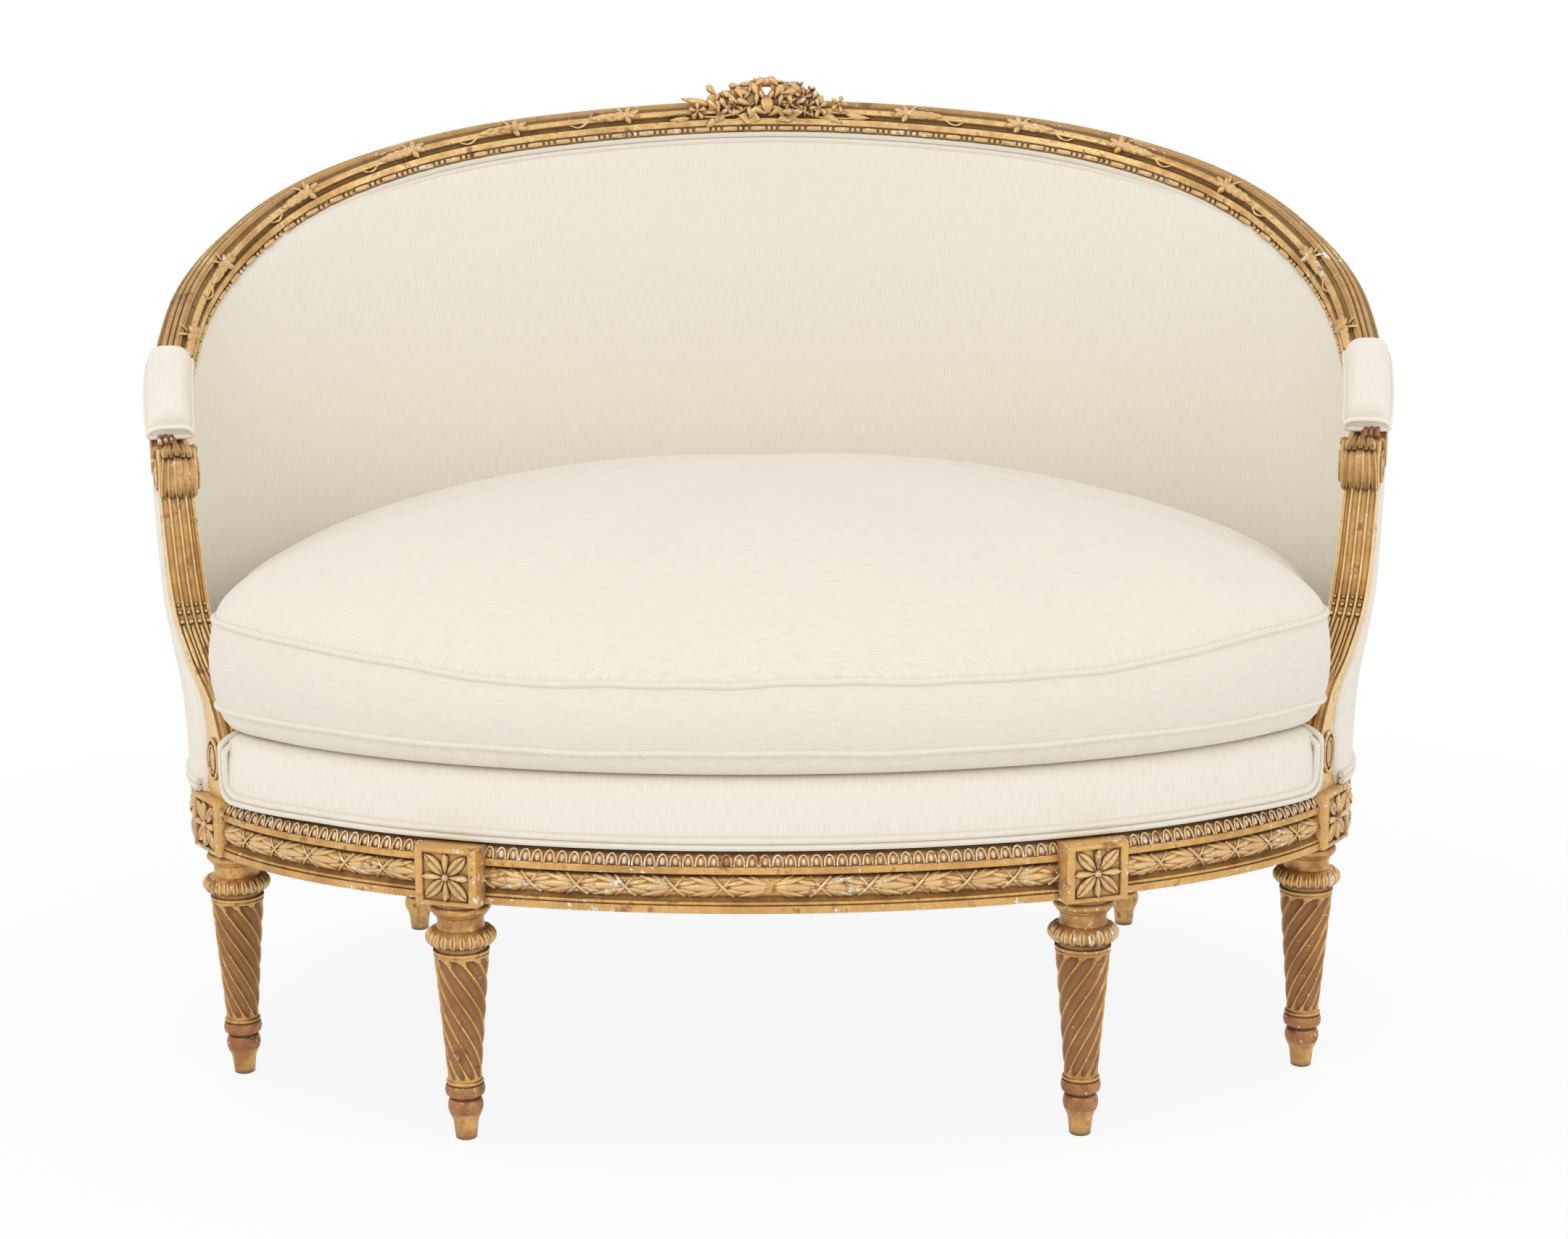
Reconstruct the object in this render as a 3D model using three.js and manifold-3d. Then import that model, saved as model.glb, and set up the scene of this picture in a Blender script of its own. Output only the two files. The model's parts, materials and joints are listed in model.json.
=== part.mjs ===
// A giltwood settee of basket form: an oval seat on turned legs, a back and arms that sweep
// round in one carved rail, and a loose feather cushion. Millimetres, +Z up, +Y to the back.
import * as THREE from 'three';
import Module from 'manifold-3d';
import { mergeVertices } from 'three/addons/utils/BufferGeometryUtils.js';

const wasm = await Module();
wasm.setup();

// Driving dimensions

const clearance = 0.3;
const overrun = 40;

// The plan of the seat frame, and the plan that the arms and the crest follow above it.
// Each is two half ovals that meet at the widest line, centre back from the frame's front.
const seatPlan = { halfWidth: 598, front: 358, back: 455, centre: 358, frontPowerShare: 2, backPowerShare: 3 };
const capPlan = { halfWidth: 638, front: 597, back: 375, centre: 470, frontPowerShare: 2, backPowerShare: 2.5 };
const depthMiddle = (capPlan.centre + capPlan.back) / 2;

// Heights above the floor
const railBottom = 235.5;
const railHeight = 55;
const railTop = railBottom + railHeight;
const armFrontHeight = 630;
const crestHeight = 961.5;

// Angles round the plan in degrees: 0 at the front middle, 90 at the right end, 180 at the back
const innerLegAngle = 43.5;
const outerLegAngle = 77;
const backLegAngle = 132.4;
const armFrontAngle = 76;
const armJointAngle = 101;
const crestJointAngle = 126;

// Seat rails
const railDepth = 44;
const tenon = { length: 20, width: 12, height: 30 };
const stretcher = { width: 46, height: 40, dip: 8 };
const cornerBlock = { width: 120, depth: 34, height: 42 };

// Legs
const block = { half: 31, height: railHeight };
const innerLegInset = 14;
const outerLegInset = 27;
const backLegInset = 22;
const fluteCount = 10;
const fluteDepthShare = 0.2;
const fluteTwist = 200;
const fluteRings = 7;
const leg = {
  toeRadius: 10, toeHeight: 15, bulbRadius: 16, bulbHeight: 32, ankleRadius: 13, ankleHeight: 41,
  ringRadius: 18.6, ringHeight: 51, ringHalf: 7, taperFoot: 61, taperFootRadius: 15.9,
  taperHead: 185, taperHeadRadius: 26.2, underCollarRadius: 23.5, collarHeight: 199,
  collarRadius: 32.2, collarHalf: 7, neckRadius: 21.7, neckFoot: 210, neckHead: 221,
  ovoloRadius: 28.5, ovoloHeight: 229,
};
const rosette = { recessHalf: 23, recessDepth: 3, petals: 8, radius: 20, budRadius: 6, relief: 4 };

// Arms, their pads and the crest
const capWidth = 38;
const capDepth = 34;
const scroll = { radius: 27, width: 41, inset: 24, eyeRadius: 8, eyeRise: 3 };
const support = {
  headWidth: 24, headDepth: 28, footWidth: 40, footDepth: 48, footInset: 27, footAhead: 8,
  flutes: 4, fluteDepth: 3,
};
const pad = { width: 49, height: 24, crown: 8, endShare: 0.92 };
const padStartAngle = 77.1;
const padEndAngle = 86.2;
const dowel = { radius: 5, length: 36 };
const cresting = { height: 42, spread: 216, thickness: 20, rise: 24.5 };

// The upholstered back
const backThickness = 46;
const backCrown = 10;
const backTopInset = 30;
const innerPadFace = 24;
const outsideCover = { thickness: 3.5, inset: 0.6 };
const post = { width: 42, thickness: 12.5, inset: 9.5 };
const armWallAngle = 79.3;
const plainWallAngle = 112;
const sidePostAngle = 106;
const backPostAngle = 148;

// The seat
const web = { thickness: 2, inset: 16, sideInset: 26, along: 2, across: 4, strap: 60 };
const deck = { bottom: railTop + web.thickness + 2 * clearance, height: 66, frontInset: 12, shoulder: 20 };
const deckSideInset = 53;
const deckEndAngle = 71.4;
const dust = { thickness: 1.5, inset: 24 };
const cushion = {
  rest: 0.6, boxing: 78, bellyDrop: 8, bellyInset: 14, crown: 156, bulge: 3, drawIn: 6,
};
const cushionCornerAngle = 75.5;

// Shares and small tables

// The rise of the arm and crest rail from its front scroll, as angle and share of the whole rise
const capRiseShares = [
  [76, 0], [80, 0.085], [85, 0.19], [90, 0.296], [95, 0.398], [100, 0.487], [106, 0.592],
  [112, 0.694], [118, 0.777], [125, 0.849], [132, 0.901], [140, 0.939], [150, 0.967],
  [160, 0.985], [170, 0.996], [180, 1],
];
// How far an arm support has swept from its foot to its head, by its share of the height
const supportSweepShares = [
  [0, 0], [0.15, 0], [0.33, 0.2], [0.44, 0.5], [0.61, 0.81], [1, 1],
];
// The cushion's inset from the seat plan, by angle, as a share of the thickness of the back
const cushionInsetShares = [
  [0, 0.07], [55, 0.07], [70, 0.1], [75.5, 0.2], [79, 1.04], [84, 1.1], [140, 1.17], [180, 1.17],
];
// The moulded face of the seat rail: out from the face as a share of its depth, and up as a
// share of its height
const railFaceShares = [
  [0, 0], [0, 0.19], [-0.12, 0.23], [-0.03, 0.31], [0, 0.42], [-0.03, 0.53], [-0.12, 0.61],
  [-0.04, 0.63], [-0.04, 0.78], [-0.12, 0.84], [-0.24, 0.97], [-0.24, 1], [-1, 1], [-1, 0],
];
// The crest rail from its outer top edge: reeded bundle on top, a cove, a fillet and a bead
const capFaceShares = [
  [0, -1], [0, -0.2], [-0.12, -0.04], [-0.4, 0], [-0.68, -0.03], [-0.84, -0.16], [-0.87, -0.34],
  [-0.76, -0.48], [-0.74, -0.6], [-0.9, -0.68], [-0.92, -0.8], [-1, -0.86], [-0.98, -0.97], [-0.92, -1],
];

// Finishes
const giltwood = { color: 0x9a7636, roughness: 0.42, metalness: 0.7 };
const beech = { color: 0xb08d5c, roughness: 0.75, metalness: 0 };
const linen = { color: 0xd8cfbf, roughness: 0.95, metalness: 0 };
const jute = { color: 0xa58b62, roughness: 0.95, metalness: 0 };
const cambric = { color: 0x2b2a29, roughness: 0.95, metalness: 0 };

const radians = THREE.MathUtils.degToRad;
const lerp = THREE.MathUtils.lerp;
const smooth = THREE.MathUtils.smoothstep;
const skyward = new THREE.Vector3(0, 0, 1);

// Plans and paths

// A table of pairs read with a smooth curve between its rows.
function readTable(table, at) {
  const last = table.length - 1;
  const k = Math.min(last - 1, Math.max(0, table.findIndex((row) => row[0] > at) - 1));
  const start = at >= table[last][0] ? last - 1 : k;
  const rows = [start - 1, start, start + 1, start + 2].map((i) => table[Math.min(last, Math.max(0, i))]);
  const [before, from, to, after] = rows;
  const span = to[0] - from[0];
  const share = Math.min(1, Math.max(0, (at - from[0]) / span));
  const slopeIn = from === before ? (to[1] - from[1]) / span : (to[1] - before[1]) / (to[0] - before[0]);
  const slopeOut = to === after ? (to[1] - from[1]) / span : (after[1] - from[1]) / (after[0] - from[0]);
  const s2 = share * share;
  const s3 = s2 * share;
  return (2 * s3 - 3 * s2 + 1) * from[1] + (s3 - 2 * s2 + share) * span * slopeIn
    + (3 * s2 - 2 * s3) * to[1] + (s3 - s2) * span * slopeOut;
}

// The point of a plan at an angle, in the object's own frame.
function planPoint(plan, degrees) {
  const side = Math.sin(radians(degrees));
  const ahead = Math.cos(radians(degrees));
  const reach = ahead > 0 ? plan.front : plan.back;
  const power = ahead > 0 ? plan.frontPowerShare : plan.backPowerShare;
  const sum = (Math.abs(side) / plan.halfWidth) ** power + (Math.abs(ahead) / reach) ** power;
  const radius = sum ** (-1 / power);
  return new THREE.Vector3(radius * side, plan.centre - radius * ahead - depthMiddle, 0);
}

// The outward level direction of a plan at an angle.
function planOut(plan, degrees) {
  const step = 0.2;
  const along = planPoint(plan, degrees + step).sub(planPoint(plan, degrees - step)).normalize();
  return new THREE.Vector3(along.y, -along.x, 0);
}

// A frame for sweeping: an origin with an outward and an upward direction.
function levelFrame(plan, degrees, height, inset = 0) {
  const out = planOut(plan, degrees);
  const origin = planPoint(plan, degrees).addScaledVector(out, -inset);
  origin.z = height;
  return { origin, out, up: skyward.clone() };
}

function capHeight(degrees) {
  const folded = Math.abs(((degrees + 180) % 360) - 180);
  const turn = degrees > 180 ? 360 - degrees : folded;
  return armFrontHeight + (crestHeight - armFrontHeight) * readTable(capRiseShares, turn);
}

function capPoint(degrees) {
  const point = planPoint(capPlan, degrees);
  point.z = capHeight(degrees);
  return point;
}

// The frame of the arm and crest rail, square to its rising line.
function capFrame(degrees) {
  const step = 0.4;
  const along = capPoint(degrees + step).sub(capPoint(degrees - step)).normalize();
  const out = planOut(capPlan, degrees);
  const up = new THREE.Vector3().crossVectors(out, along).normalize();
  if (up.z < 0) up.negate();
  return { origin: capPoint(degrees), out, up };
}

function spread(from, to, count) {
  return Array.from({ length: count + 1 }, (_, k) => lerp(from, to, k / count));
}

// Solids

function signedVolume(points, faces) {
  let total = 0;
  for (let k = 0; k < faces.length; k += 3) {
    const [a, b, c] = [points[faces[k]], points[faces[k + 1]], points[faces[k + 2]]];
    total += a.dot(new THREE.Vector3().crossVectors(b, c));
  }
  return total;
}

// A closed geometry from points and triangles, turned so that its faces point out.
function closedGeometry(points, faces) {
  const order = signedVolume(points, faces) < 0 ? [...faces].reverse() : faces;
  const geometry = new THREE.BufferGeometry();
  geometry.setAttribute('position', new THREE.Float32BufferAttribute(points.flatMap((p) => p.toArray()), 3));
  geometry.setIndex(order);
  return geometry;
}

// A solid through rings of equal count. The end faces are cut up by the flat outline given,
// or fan from their middle when none is given. From the place turnFrom in the ring onward the
// facets are split the other way, so that both faces of a thin wall keep the same facets.
function ringSolid(rings, outline = null, turnFrom = Infinity) {
  const count = rings[0].length;
  const points = rings.flat().map((p) => p.clone());
  const faces = [];
  for (let r = 0; r + 1 < rings.length; r += 1) {
    for (let k = 0; k < count; k += 1) {
      const a = r * count + k;
      const b = r * count + ((k + 1) % count);
      if (k < turnFrom) faces.push(a, b, b + count, a, b + count, a + count);
      else faces.push(a, b, a + count, b, b + count, a + count);
    }
  }
  const lastRow = (rings.length - 1) * count;
  if (outline) {
    for (const [a, b, c] of THREE.ShapeUtils.triangulateShape(outline, [])) {
      faces.push(c, b, a, lastRow + a, lastRow + b, lastRow + c);
    }
    return closedGeometry(points, faces);
  }
  for (const [row, flip] of [[0, true], [lastRow, false]]) {
    const middle = new THREE.Vector3();
    for (let k = 0; k < count; k += 1) middle.addScaledVector(points[row + k], 1 / count);
    const hub = points.length;
    points.push(middle);
    for (let k = 0; k < count; k += 1) {
      const a = row + k;
      const b = row + ((k + 1) % count);
      faces.push(...(flip ? [hub, b, a] : [hub, a, b]));
    }
  }
  return closedGeometry(points, faces);
}

// A profile swept through frames. Its x lies outward and its y upward.
function sweep(profile, frames) {
  const rings = frames.map(({ origin, out, up }) => profile.map((p) => (
    origin.clone().addScaledVector(out, p.x).addScaledVector(up, p.y))));
  return ringSolid(rings, profile);
}

function rectangle(x0, y0, x1, y1) {
  return [[x0, y0], [x1, y0], [x1, y1], [x0, y1]].map(([x, y]) => new THREE.Vector2(x, y));
}

function manifoldOf(source) {
  const geometry = source.clone();
  geometry.deleteAttribute('normal');
  geometry.deleteAttribute('uv');
  const merged = mergeVertices(geometry, 1e-4);
  return new wasm.Manifold(new wasm.Mesh({
    numProp: 3,
    vertProperties: new Float32Array(merged.attributes.position.array),
    triVerts: new Uint32Array(merged.index.array),
  }));
}

function geometryOf(solid) {
  const { vertProperties, triVerts, numProp } = solid.getMesh();
  const positions = [];
  for (let k = 0; k < vertProperties.length; k += numProp) {
    positions.push(vertProperties[k], vertProperties[k + 1], vertProperties[k + 2]);
  }
  const geometry = new THREE.BufferGeometry();
  geometry.setAttribute('position', new THREE.Float32BufferAttribute(positions, 3));
  geometry.setIndex(Array.from(triVerts));
  return geometry;
}

function cut(geometry, ...tools) {
  let solid = manifoldOf(geometry);
  for (const tool of tools) solid = solid.subtract(manifoldOf(tool));
  return geometryOf(solid);
}

function join(geometry, ...others) {
  let solid = manifoldOf(geometry);
  for (const other of others) solid = solid.add(manifoldOf(other));
  return geometryOf(solid);
}

// The level direction in which the angle of a frame grows.
function runOf(frame) {
  return new THREE.Vector3().crossVectors(frame.up, frame.out);
}

// The other-hand twin of a piece.
function mirrored(geometry) {
  const twin = geometry.clone().scale(-1, 1, 1);
  twin.setIndex([...twin.index.array].reverse());
  return twin;
}

// A box set by its size along a frame's run, outward and upward directions.
function frameBox(frame, run, outward, height, shift = { run: 0, out: 0 }) {
  const matrix = new THREE.Matrix4().makeBasis(runOf(frame).negate(), frame.out, frame.up);
  matrix.setPosition(frame.origin.clone()
    .addScaledVector(runOf(frame), shift.run)
    .addScaledVector(frame.out, shift.out));
  return new THREE.BoxGeometry(run, outward, height).applyMatrix4(matrix);
}

// Legs

const legPlaces = [
  { name: 'front_inner', degrees: innerLegAngle, inset: innerLegInset, carved: true },
  { name: 'front_outer', degrees: outerLegAngle, inset: outerLegInset, carved: true },
  { name: 'back', degrees: backLegAngle, inset: backLegInset, carved: false },
];

function blockFrame(place) {
  return levelFrame(seatPlan, place.degrees, railBottom + block.height / 2, place.inset);
}

// The square block of a leg, larger all round by the margin given.
function blockBox(place, margin = 0) {
  const side = 2 * (block.half + margin);
  return frameBox(blockFrame(place), side, side, block.height + 2 * margin);
}

// The rings of the turned leg as height and radius. The taper's rings carry the flutes.
function turnedRings() {
  const rings = [
    { z: 0, r: leg.toeRadius }, { z: leg.toeHeight, r: (leg.toeRadius + leg.ankleRadius) / 2 },
    { z: leg.bulbHeight, r: leg.bulbRadius }, { z: leg.ankleHeight, r: leg.ankleRadius },
    { z: leg.ringHeight - leg.ringHalf, r: leg.taperFootRadius }, { z: leg.ringHeight, r: leg.ringRadius },
    { z: leg.ringHeight + leg.ringHalf, r: leg.taperFootRadius },
  ];
  for (let k = 0; k <= fluteRings + 1; k += 1) {
    const inner = Math.min(Math.max(k - 0.5, 0), fluteRings) / fluteRings;
    const share = k === 0 ? 0 : inner;
    rings.push({
      z: lerp(leg.taperFoot, leg.taperHead, share),
      r: lerp(leg.taperFootRadius, leg.taperHeadRadius, share),
      turn: share,
      fluted: k > 0 && k <= fluteRings,
    });
  }
  rings.push(
    { z: leg.taperHead + leg.collarHalf / 2, r: leg.underCollarRadius },
    { z: leg.collarHeight - leg.collarHalf / 2, r: leg.collarRadius },
    { z: leg.collarHeight + leg.collarHalf / 2, r: leg.collarRadius },
    { z: leg.neckFoot, r: leg.neckRadius }, { z: leg.neckHead, r: leg.neckRadius },
    { z: leg.ovoloHeight, r: leg.ovoloRadius }, { z: railBottom + clearance, r: leg.ovoloRadius },
  );
  return rings;
}

// The turned and spirally fluted part, as it is on the right side.
function turnedLeg(centre) {
  const sides = 2 * fluteCount;
  let turn = 0;
  const rings = turnedRings().map((ring) => {
    if (ring.turn !== undefined) turn = radians(fluteTwist) * ring.turn;
    return Array.from({ length: sides }, (_, k) => {
      const groove = ring.fluted && k % 2 === 1 ? 1 - fluteDepthShare : 1;
      const angle = (k / sides) * 2 * Math.PI + turn;
      const radius = ring.r * groove;
      return new THREE.Vector3(centre.x + radius * Math.cos(angle), centre.y + radius * Math.sin(angle), ring.z);
    });
  });
  return ringSolid(rings);
}

// A petalled flower in low relief, standing out of the block's face.
function rosetteFlower(frame) {
  const steps = 2 * rosette.petals;
  const along = runOf(frame);
  const ringAt = (radius, dip, height) => Array.from({ length: steps }, (_, k) => {
    const reach = k % 2 === 0 ? radius : radius * dip;
    const angle = (k / steps) * 2 * Math.PI;
    return frame.origin.clone()
      .addScaledVector(along, reach * Math.cos(angle))
      .addScaledVector(frame.up, reach * Math.sin(angle))
      .addScaledVector(frame.out, block.half - rosette.recessDepth + height);
  });
  const dipShare = 0.72;
  return ringSolid([
    ringAt(rosette.radius, dipShare, -rosette.recessDepth),
    ringAt(rosette.radius, dipShare, rosette.relief / 3),
    ringAt((rosette.radius + rosette.budRadius) / 2, 1, rosette.relief * 0.6),
    ringAt(rosette.budRadius, 1, rosette.relief * 0.4),
    ringAt(rosette.budRadius * 0.7, 1, rosette.relief),
  ]);
}

function legSolid(place) {
  const frame = blockFrame(place);
  let solid = join(blockBox(place), turnedLeg(frame.origin));
  if (place.carved) {
    const recess = frameBox(frame, 2 * rosette.recessHalf, 2 * rosette.recessDepth, 2 * rosette.recessHalf,
      { run: 0, out: block.half });
    solid = join(cut(solid, recess), rosetteFlower(frame));
  }
  return cut(solid, ...railEndsAt(place).map((end) => tenonBox(end, clearance)));
}

// Seat rails

// The right half of the seat frame, with the front and back rails whole.
const railSpans = [
  { name: 'front_centre', from: -innerLegAngle, to: innerLegAngle, steps: 14 },
  { name: 'front', from: innerLegAngle, to: outerLegAngle, steps: 6, paired: true },
  { name: 'side', from: outerLegAngle, to: backLegAngle, steps: 8, paired: true },
  { name: 'back', from: backLegAngle, to: 360 - backLegAngle, steps: 12 },
];

function railFrames(span, height = railBottom) {
  return spread(span.from, span.to, span.steps).map((degrees) => levelFrame(seatPlan, degrees, height));
}

// A rail's run made into a tool that trims what stands behind it.
function behindRailTool(span) {
  const band = rectangle(-railDepth - clearance, -railHeight, overrun, 2 * railHeight);
  return sweep(band, railFrames(span));
}

// The two ends of a rail, each as the leg it enters, the side of the block that it meets, and
// whether that leg is the mirrored one.
function railEnds(span) {
  return [{ degrees: span.from, side: 1 }, { degrees: span.to, side: -1 }].map(({ degrees, side }) => {
    const left = degrees < 0 || degrees > 180;
    const turn = degrees > 180 ? 360 - degrees : Math.abs(degrees);
    return { place: legPlaces.find((place) => place.degrees === turn), side: left ? -side : side, left };
  });
}

function railEndsAt(place) {
  return railSpans.flatMap(railEnds).filter((end) => end.place === place && !end.left);
}

// The tongue of a rail end inside its block, from the block's side inward.
function tenonBox(end, margin = 0) {
  const frame = blockFrame(end.place);
  const insetToMiddle = railDepth / 2 - end.place.inset;
  const reach = tenon.length + margin;
  const root = block.half - reach / 2 + overrun / 8;
  return frameBox(frame, reach + overrun / 4, tenon.width + 2 * margin, tenon.height + 2 * margin,
    { run: end.side * root, out: -insetToMiddle });
}

function railProfile() {
  return railFaceShares.map(([x, y]) => new THREE.Vector2(x * railDepth, y * railHeight));
}

function railSolid(span) {
  const body = sweep(railProfile(), railFrames(span));
  const ends = railEnds(span);
  const onSide = (end, tool) => (end.left ? mirrored(tool) : tool);
  const trimmed = cut(body, ...ends.flatMap((end) => (
    [onSide(end, blockBox(end.place, clearance)), onSide(end, pastBlock(end))])));
  return join(trimmed, ...ends.map((end) => onSide(end, tenonBox(end))));
}

// The space on the far side of a block, which clears what a rail leaves there.
function pastBlock(end) {
  const frame = blockFrame(end.place);
  return frameBox(frame, overrun, 3 * overrun, 2 * block.height,
    { run: -end.side * (overrun / 2 - block.half / 2), out: 0 });
}

// The bar from the front rail to the back rail, dipped in its middle to clear the webbing.
function stretcherSolid() {
  const front = planPoint(seatPlan, 0).y + overrun / 2;
  const back = planPoint(seatPlan, 180).y - overrun / 2;
  const top = railTop - clearance;
  const outline = [
    [front, top], [front, top - stretcher.height], [back, top - stretcher.height], [back, top],
    [lerp(back, front, 1 / 4), top - stretcher.dip], [lerp(front, back, 1 / 4), top - stretcher.dip],
  ].map(([x, y]) => new THREE.Vector2(x, y));
  const rings = [-1, 1].map((side) => outline.map((p) => (
    new THREE.Vector3(side * stretcher.width / 2, p.x, p.y))));
  const [front0, , , back0] = railSpans;
  return cut(ringSolid(rings, outline), behindRailTool(front0), behindRailTool(back0));
}

// A glued block in the corner behind a leg, cut to the rails and to the leg's own block.
function cornerBlockSolid(place) {
  const frame = levelFrame(seatPlan, place.degrees, railBottom + block.height / 2, railDepth);
  const body = frameBox(frame, cornerBlock.width, 2 * cornerBlock.depth, cornerBlock.height);
  const rails = railSpans.filter((span) => railEnds(span).some((end) => end.place === place));
  return cut(body, ...rails.map(behindRailTool), blockBox(place, clearance));
}

// Arm and crest rail

function capProfile(widthShare = 1) {
  return capFaceShares.map(([x, y]) => new THREE.Vector2(x * capWidth * widthShare, y * capDepth));
}

// The angles of the rings of the arm and crest rail on the right side and across the top.
const armStations = spread(armFrontAngle, armJointAngle, 9);
const crestStations = spread(armJointAngle, crestJointAngle, 8);
const topStations = spread(crestJointAngle, 360 - crestJointAngle, 18);
// A run of the rail, with its first and last rings drawn in by the gaps given.
function capSpan(stations, gapFrom, gapTo) {
  const angles = [...stations];
  angles[0] += gapFrom;
  angles[angles.length - 1] -= gapTo;
  return sweep(capProfile(), angles.map(capFrame));
}

// A half gap, so that two pieces that meet at an angle stay one clearance apart.
function gapAngle(plan) {
  return THREE.MathUtils.radToDeg(clearance / plan.halfWidth) / 2;
}

function crestTopSolid() {
  const gap = gapAngle(capPlan);
  return cut(capSpan(topStations, gap, gap), dowelSolid(crestJointAngle, clearance),
    dowelSolid(-crestJointAngle, clearance));
}

function crestSideSolid() {
  const gap = gapAngle(capPlan);
  return cut(capSpan(crestStations, gap, gap), dowelSolid(crestJointAngle, clearance),
    dowelSolid(armJointAngle, clearance));
}

// A round pin along the rail across the joint at an angle.
function dowelSolid(degrees, margin = 0) {
  const frame = capFrame(degrees);
  const along = runOf(frame);
  const centre = frame.origin.clone()
    .addScaledVector(frame.out, -capWidth / 2 + dowel.radius / 2)
    .addScaledVector(frame.up, -capDepth / 2);
  const body = new THREE.CylinderGeometry(dowel.radius + margin, dowel.radius + margin, dowel.length + 2 * margin, 10);
  const turn = new THREE.Quaternion().setFromUnitVectors(new THREE.Vector3(0, 1, 0), along);
  return body.applyQuaternion(turn).translate(centre.x, centre.y, centre.z);
}

// The rolled end of an arm: a drum across the rail with an eye on each cheek.
function scrollDrum(radius, length, sides) {
  const frame = capFrame(armFrontAngle);
  const turn = new THREE.Quaternion().setFromUnitVectors(new THREE.Vector3(0, 1, 0), frame.out);
  const centre = frame.origin.clone().addScaledVector(frame.out, -scroll.inset);
  const drum = new THREE.CylinderGeometry(radius, radius, length, sides);
  return drum.applyQuaternion(turn).translate(centre.x, centre.y, centre.z - scroll.radius);
}

function armSolid() {
  const rail = capSpan(armStations, 0, gapAngle(capPlan));
  const drum = scrollDrum(scroll.radius, scroll.width, 18);
  const eye = scrollDrum(scroll.eyeRadius, scroll.width + 2 * scroll.eyeRise, 10);
  return cut(join(rail, drum, eye), dowelSolid(armJointAngle, clearance));
}

const supportHeadHeight = armFrontHeight - 2 * scroll.radius + scroll.radius / 4;

// The centre line of an arm support, from its foot on the seat frame to the scroll.
function supportPoint(share) {
  const footOut = planOut(seatPlan, outerLegAngle);
  const foot = planPoint(seatPlan, outerLegAngle)
    .addScaledVector(footOut, -support.footInset)
    .addScaledVector(new THREE.Vector3(footOut.y, -footOut.x, 0), support.footAhead);
  const head = planPoint(capPlan, armFrontAngle)
    .addScaledVector(planOut(capPlan, armFrontAngle), -scroll.inset);
  const point = foot.lerp(head, readTable(supportSweepShares, share));
  point.z = lerp(railTop + clearance, supportHeadHeight, share);
  return point;
}

// The middle, the directions and the half sizes of a support's section.
function supportSection(share) {
  const waist = smooth(share, 0, 1 / 3);
  const footOut = planOut(seatPlan, outerLegAngle);
  const out = footOut.lerp(planOut(capPlan, armFrontAngle), share).normalize();
  return {
    centre: supportPoint(share),
    out,
    ahead: new THREE.Vector3(out.y, -out.x, 0),
    halfWidth: lerp(support.footWidth, support.headWidth, waist) / 2,
    halfDepth: lerp(support.footDepth, support.headDepth, waist) / 2,
  };
}

// The section of a support, grown by a margin: a block whose front and inner faces are fluted.
function supportRing(share, margin) {
  const section = supportSection(share);
  const halfWidth = section.halfWidth + margin;
  const halfDepth = section.halfDepth + margin;
  const faceSteps = 2 * support.flutes;
  const dipOf = (k) => (k % 2 === 1 ? support.fluteDepth : 0);
  const points = [];
  for (let k = 0; k <= faceSteps; k += 1) {
    points.push([lerp(-halfWidth, halfWidth, k / faceSteps), halfDepth - dipOf(k)]);
  }
  points.push([halfWidth, -halfDepth], [-halfWidth, -halfDepth]);
  for (let k = 1; k < faceSteps; k += 1) {
    points.push([-halfWidth + dipOf(k), lerp(-halfDepth, halfDepth, k / faceSteps)]);
  }
  return points.map(([x, y]) => (
    section.centre.clone().addScaledVector(section.out, x).addScaledVector(section.ahead, y)));
}

const supportRingShares = [0, 0.08, 0.16, 0.24, 0.32, 0.4, 0.48, 0.56, 0.66, 0.78, 0.89, 1];

function supportBody(margin = 0) {
  return ringSolid(supportRingShares.map((share) => supportRing(share, margin)));
}

function supportSolid() {
  return cut(supportBody(), scrollDrum(scroll.radius + clearance, 3 * scroll.width, 18));
}

// The half-round section of a pad over the rail, drawn in toward its middle by a share.
function padOutline(grow) {
  const arcSteps = 8;
  const middle = -capWidth / 2;
  const half = (pad.width / 2) * grow;
  const shoulder = clearance + (pad.height - pad.crown) * grow;
  const arc = spread(0, Math.PI, arcSteps).map((angle) => (
    new THREE.Vector2(middle + half * Math.cos(angle), shoulder + pad.crown * grow * Math.sin(angle))));
  return [...arc, new THREE.Vector2(middle - half, clearance), new THREE.Vector2(middle + half, clearance)];
}

function padSolid() {
  const stations = spread(padStartAngle, padEndAngle, 5);
  const rings = stations.map((degrees, k) => {
    const frame = capFrame(degrees);
    const atEnd = k === 0 || k === stations.length - 1;
    return padOutline(atEnd ? pad.endShare : 1).map((p) => (
      frame.origin.clone().addScaledVector(frame.out, p.x).addScaledVector(frame.up, p.y)));
  });
  const seat = rectangle(-capWidth - clearance, -capDepth, clearance, 2 * clearance);
  return cut(ringSolid(rings, padOutline(1)), sweep(seat, armStations.map(capFrame)));
}

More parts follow.
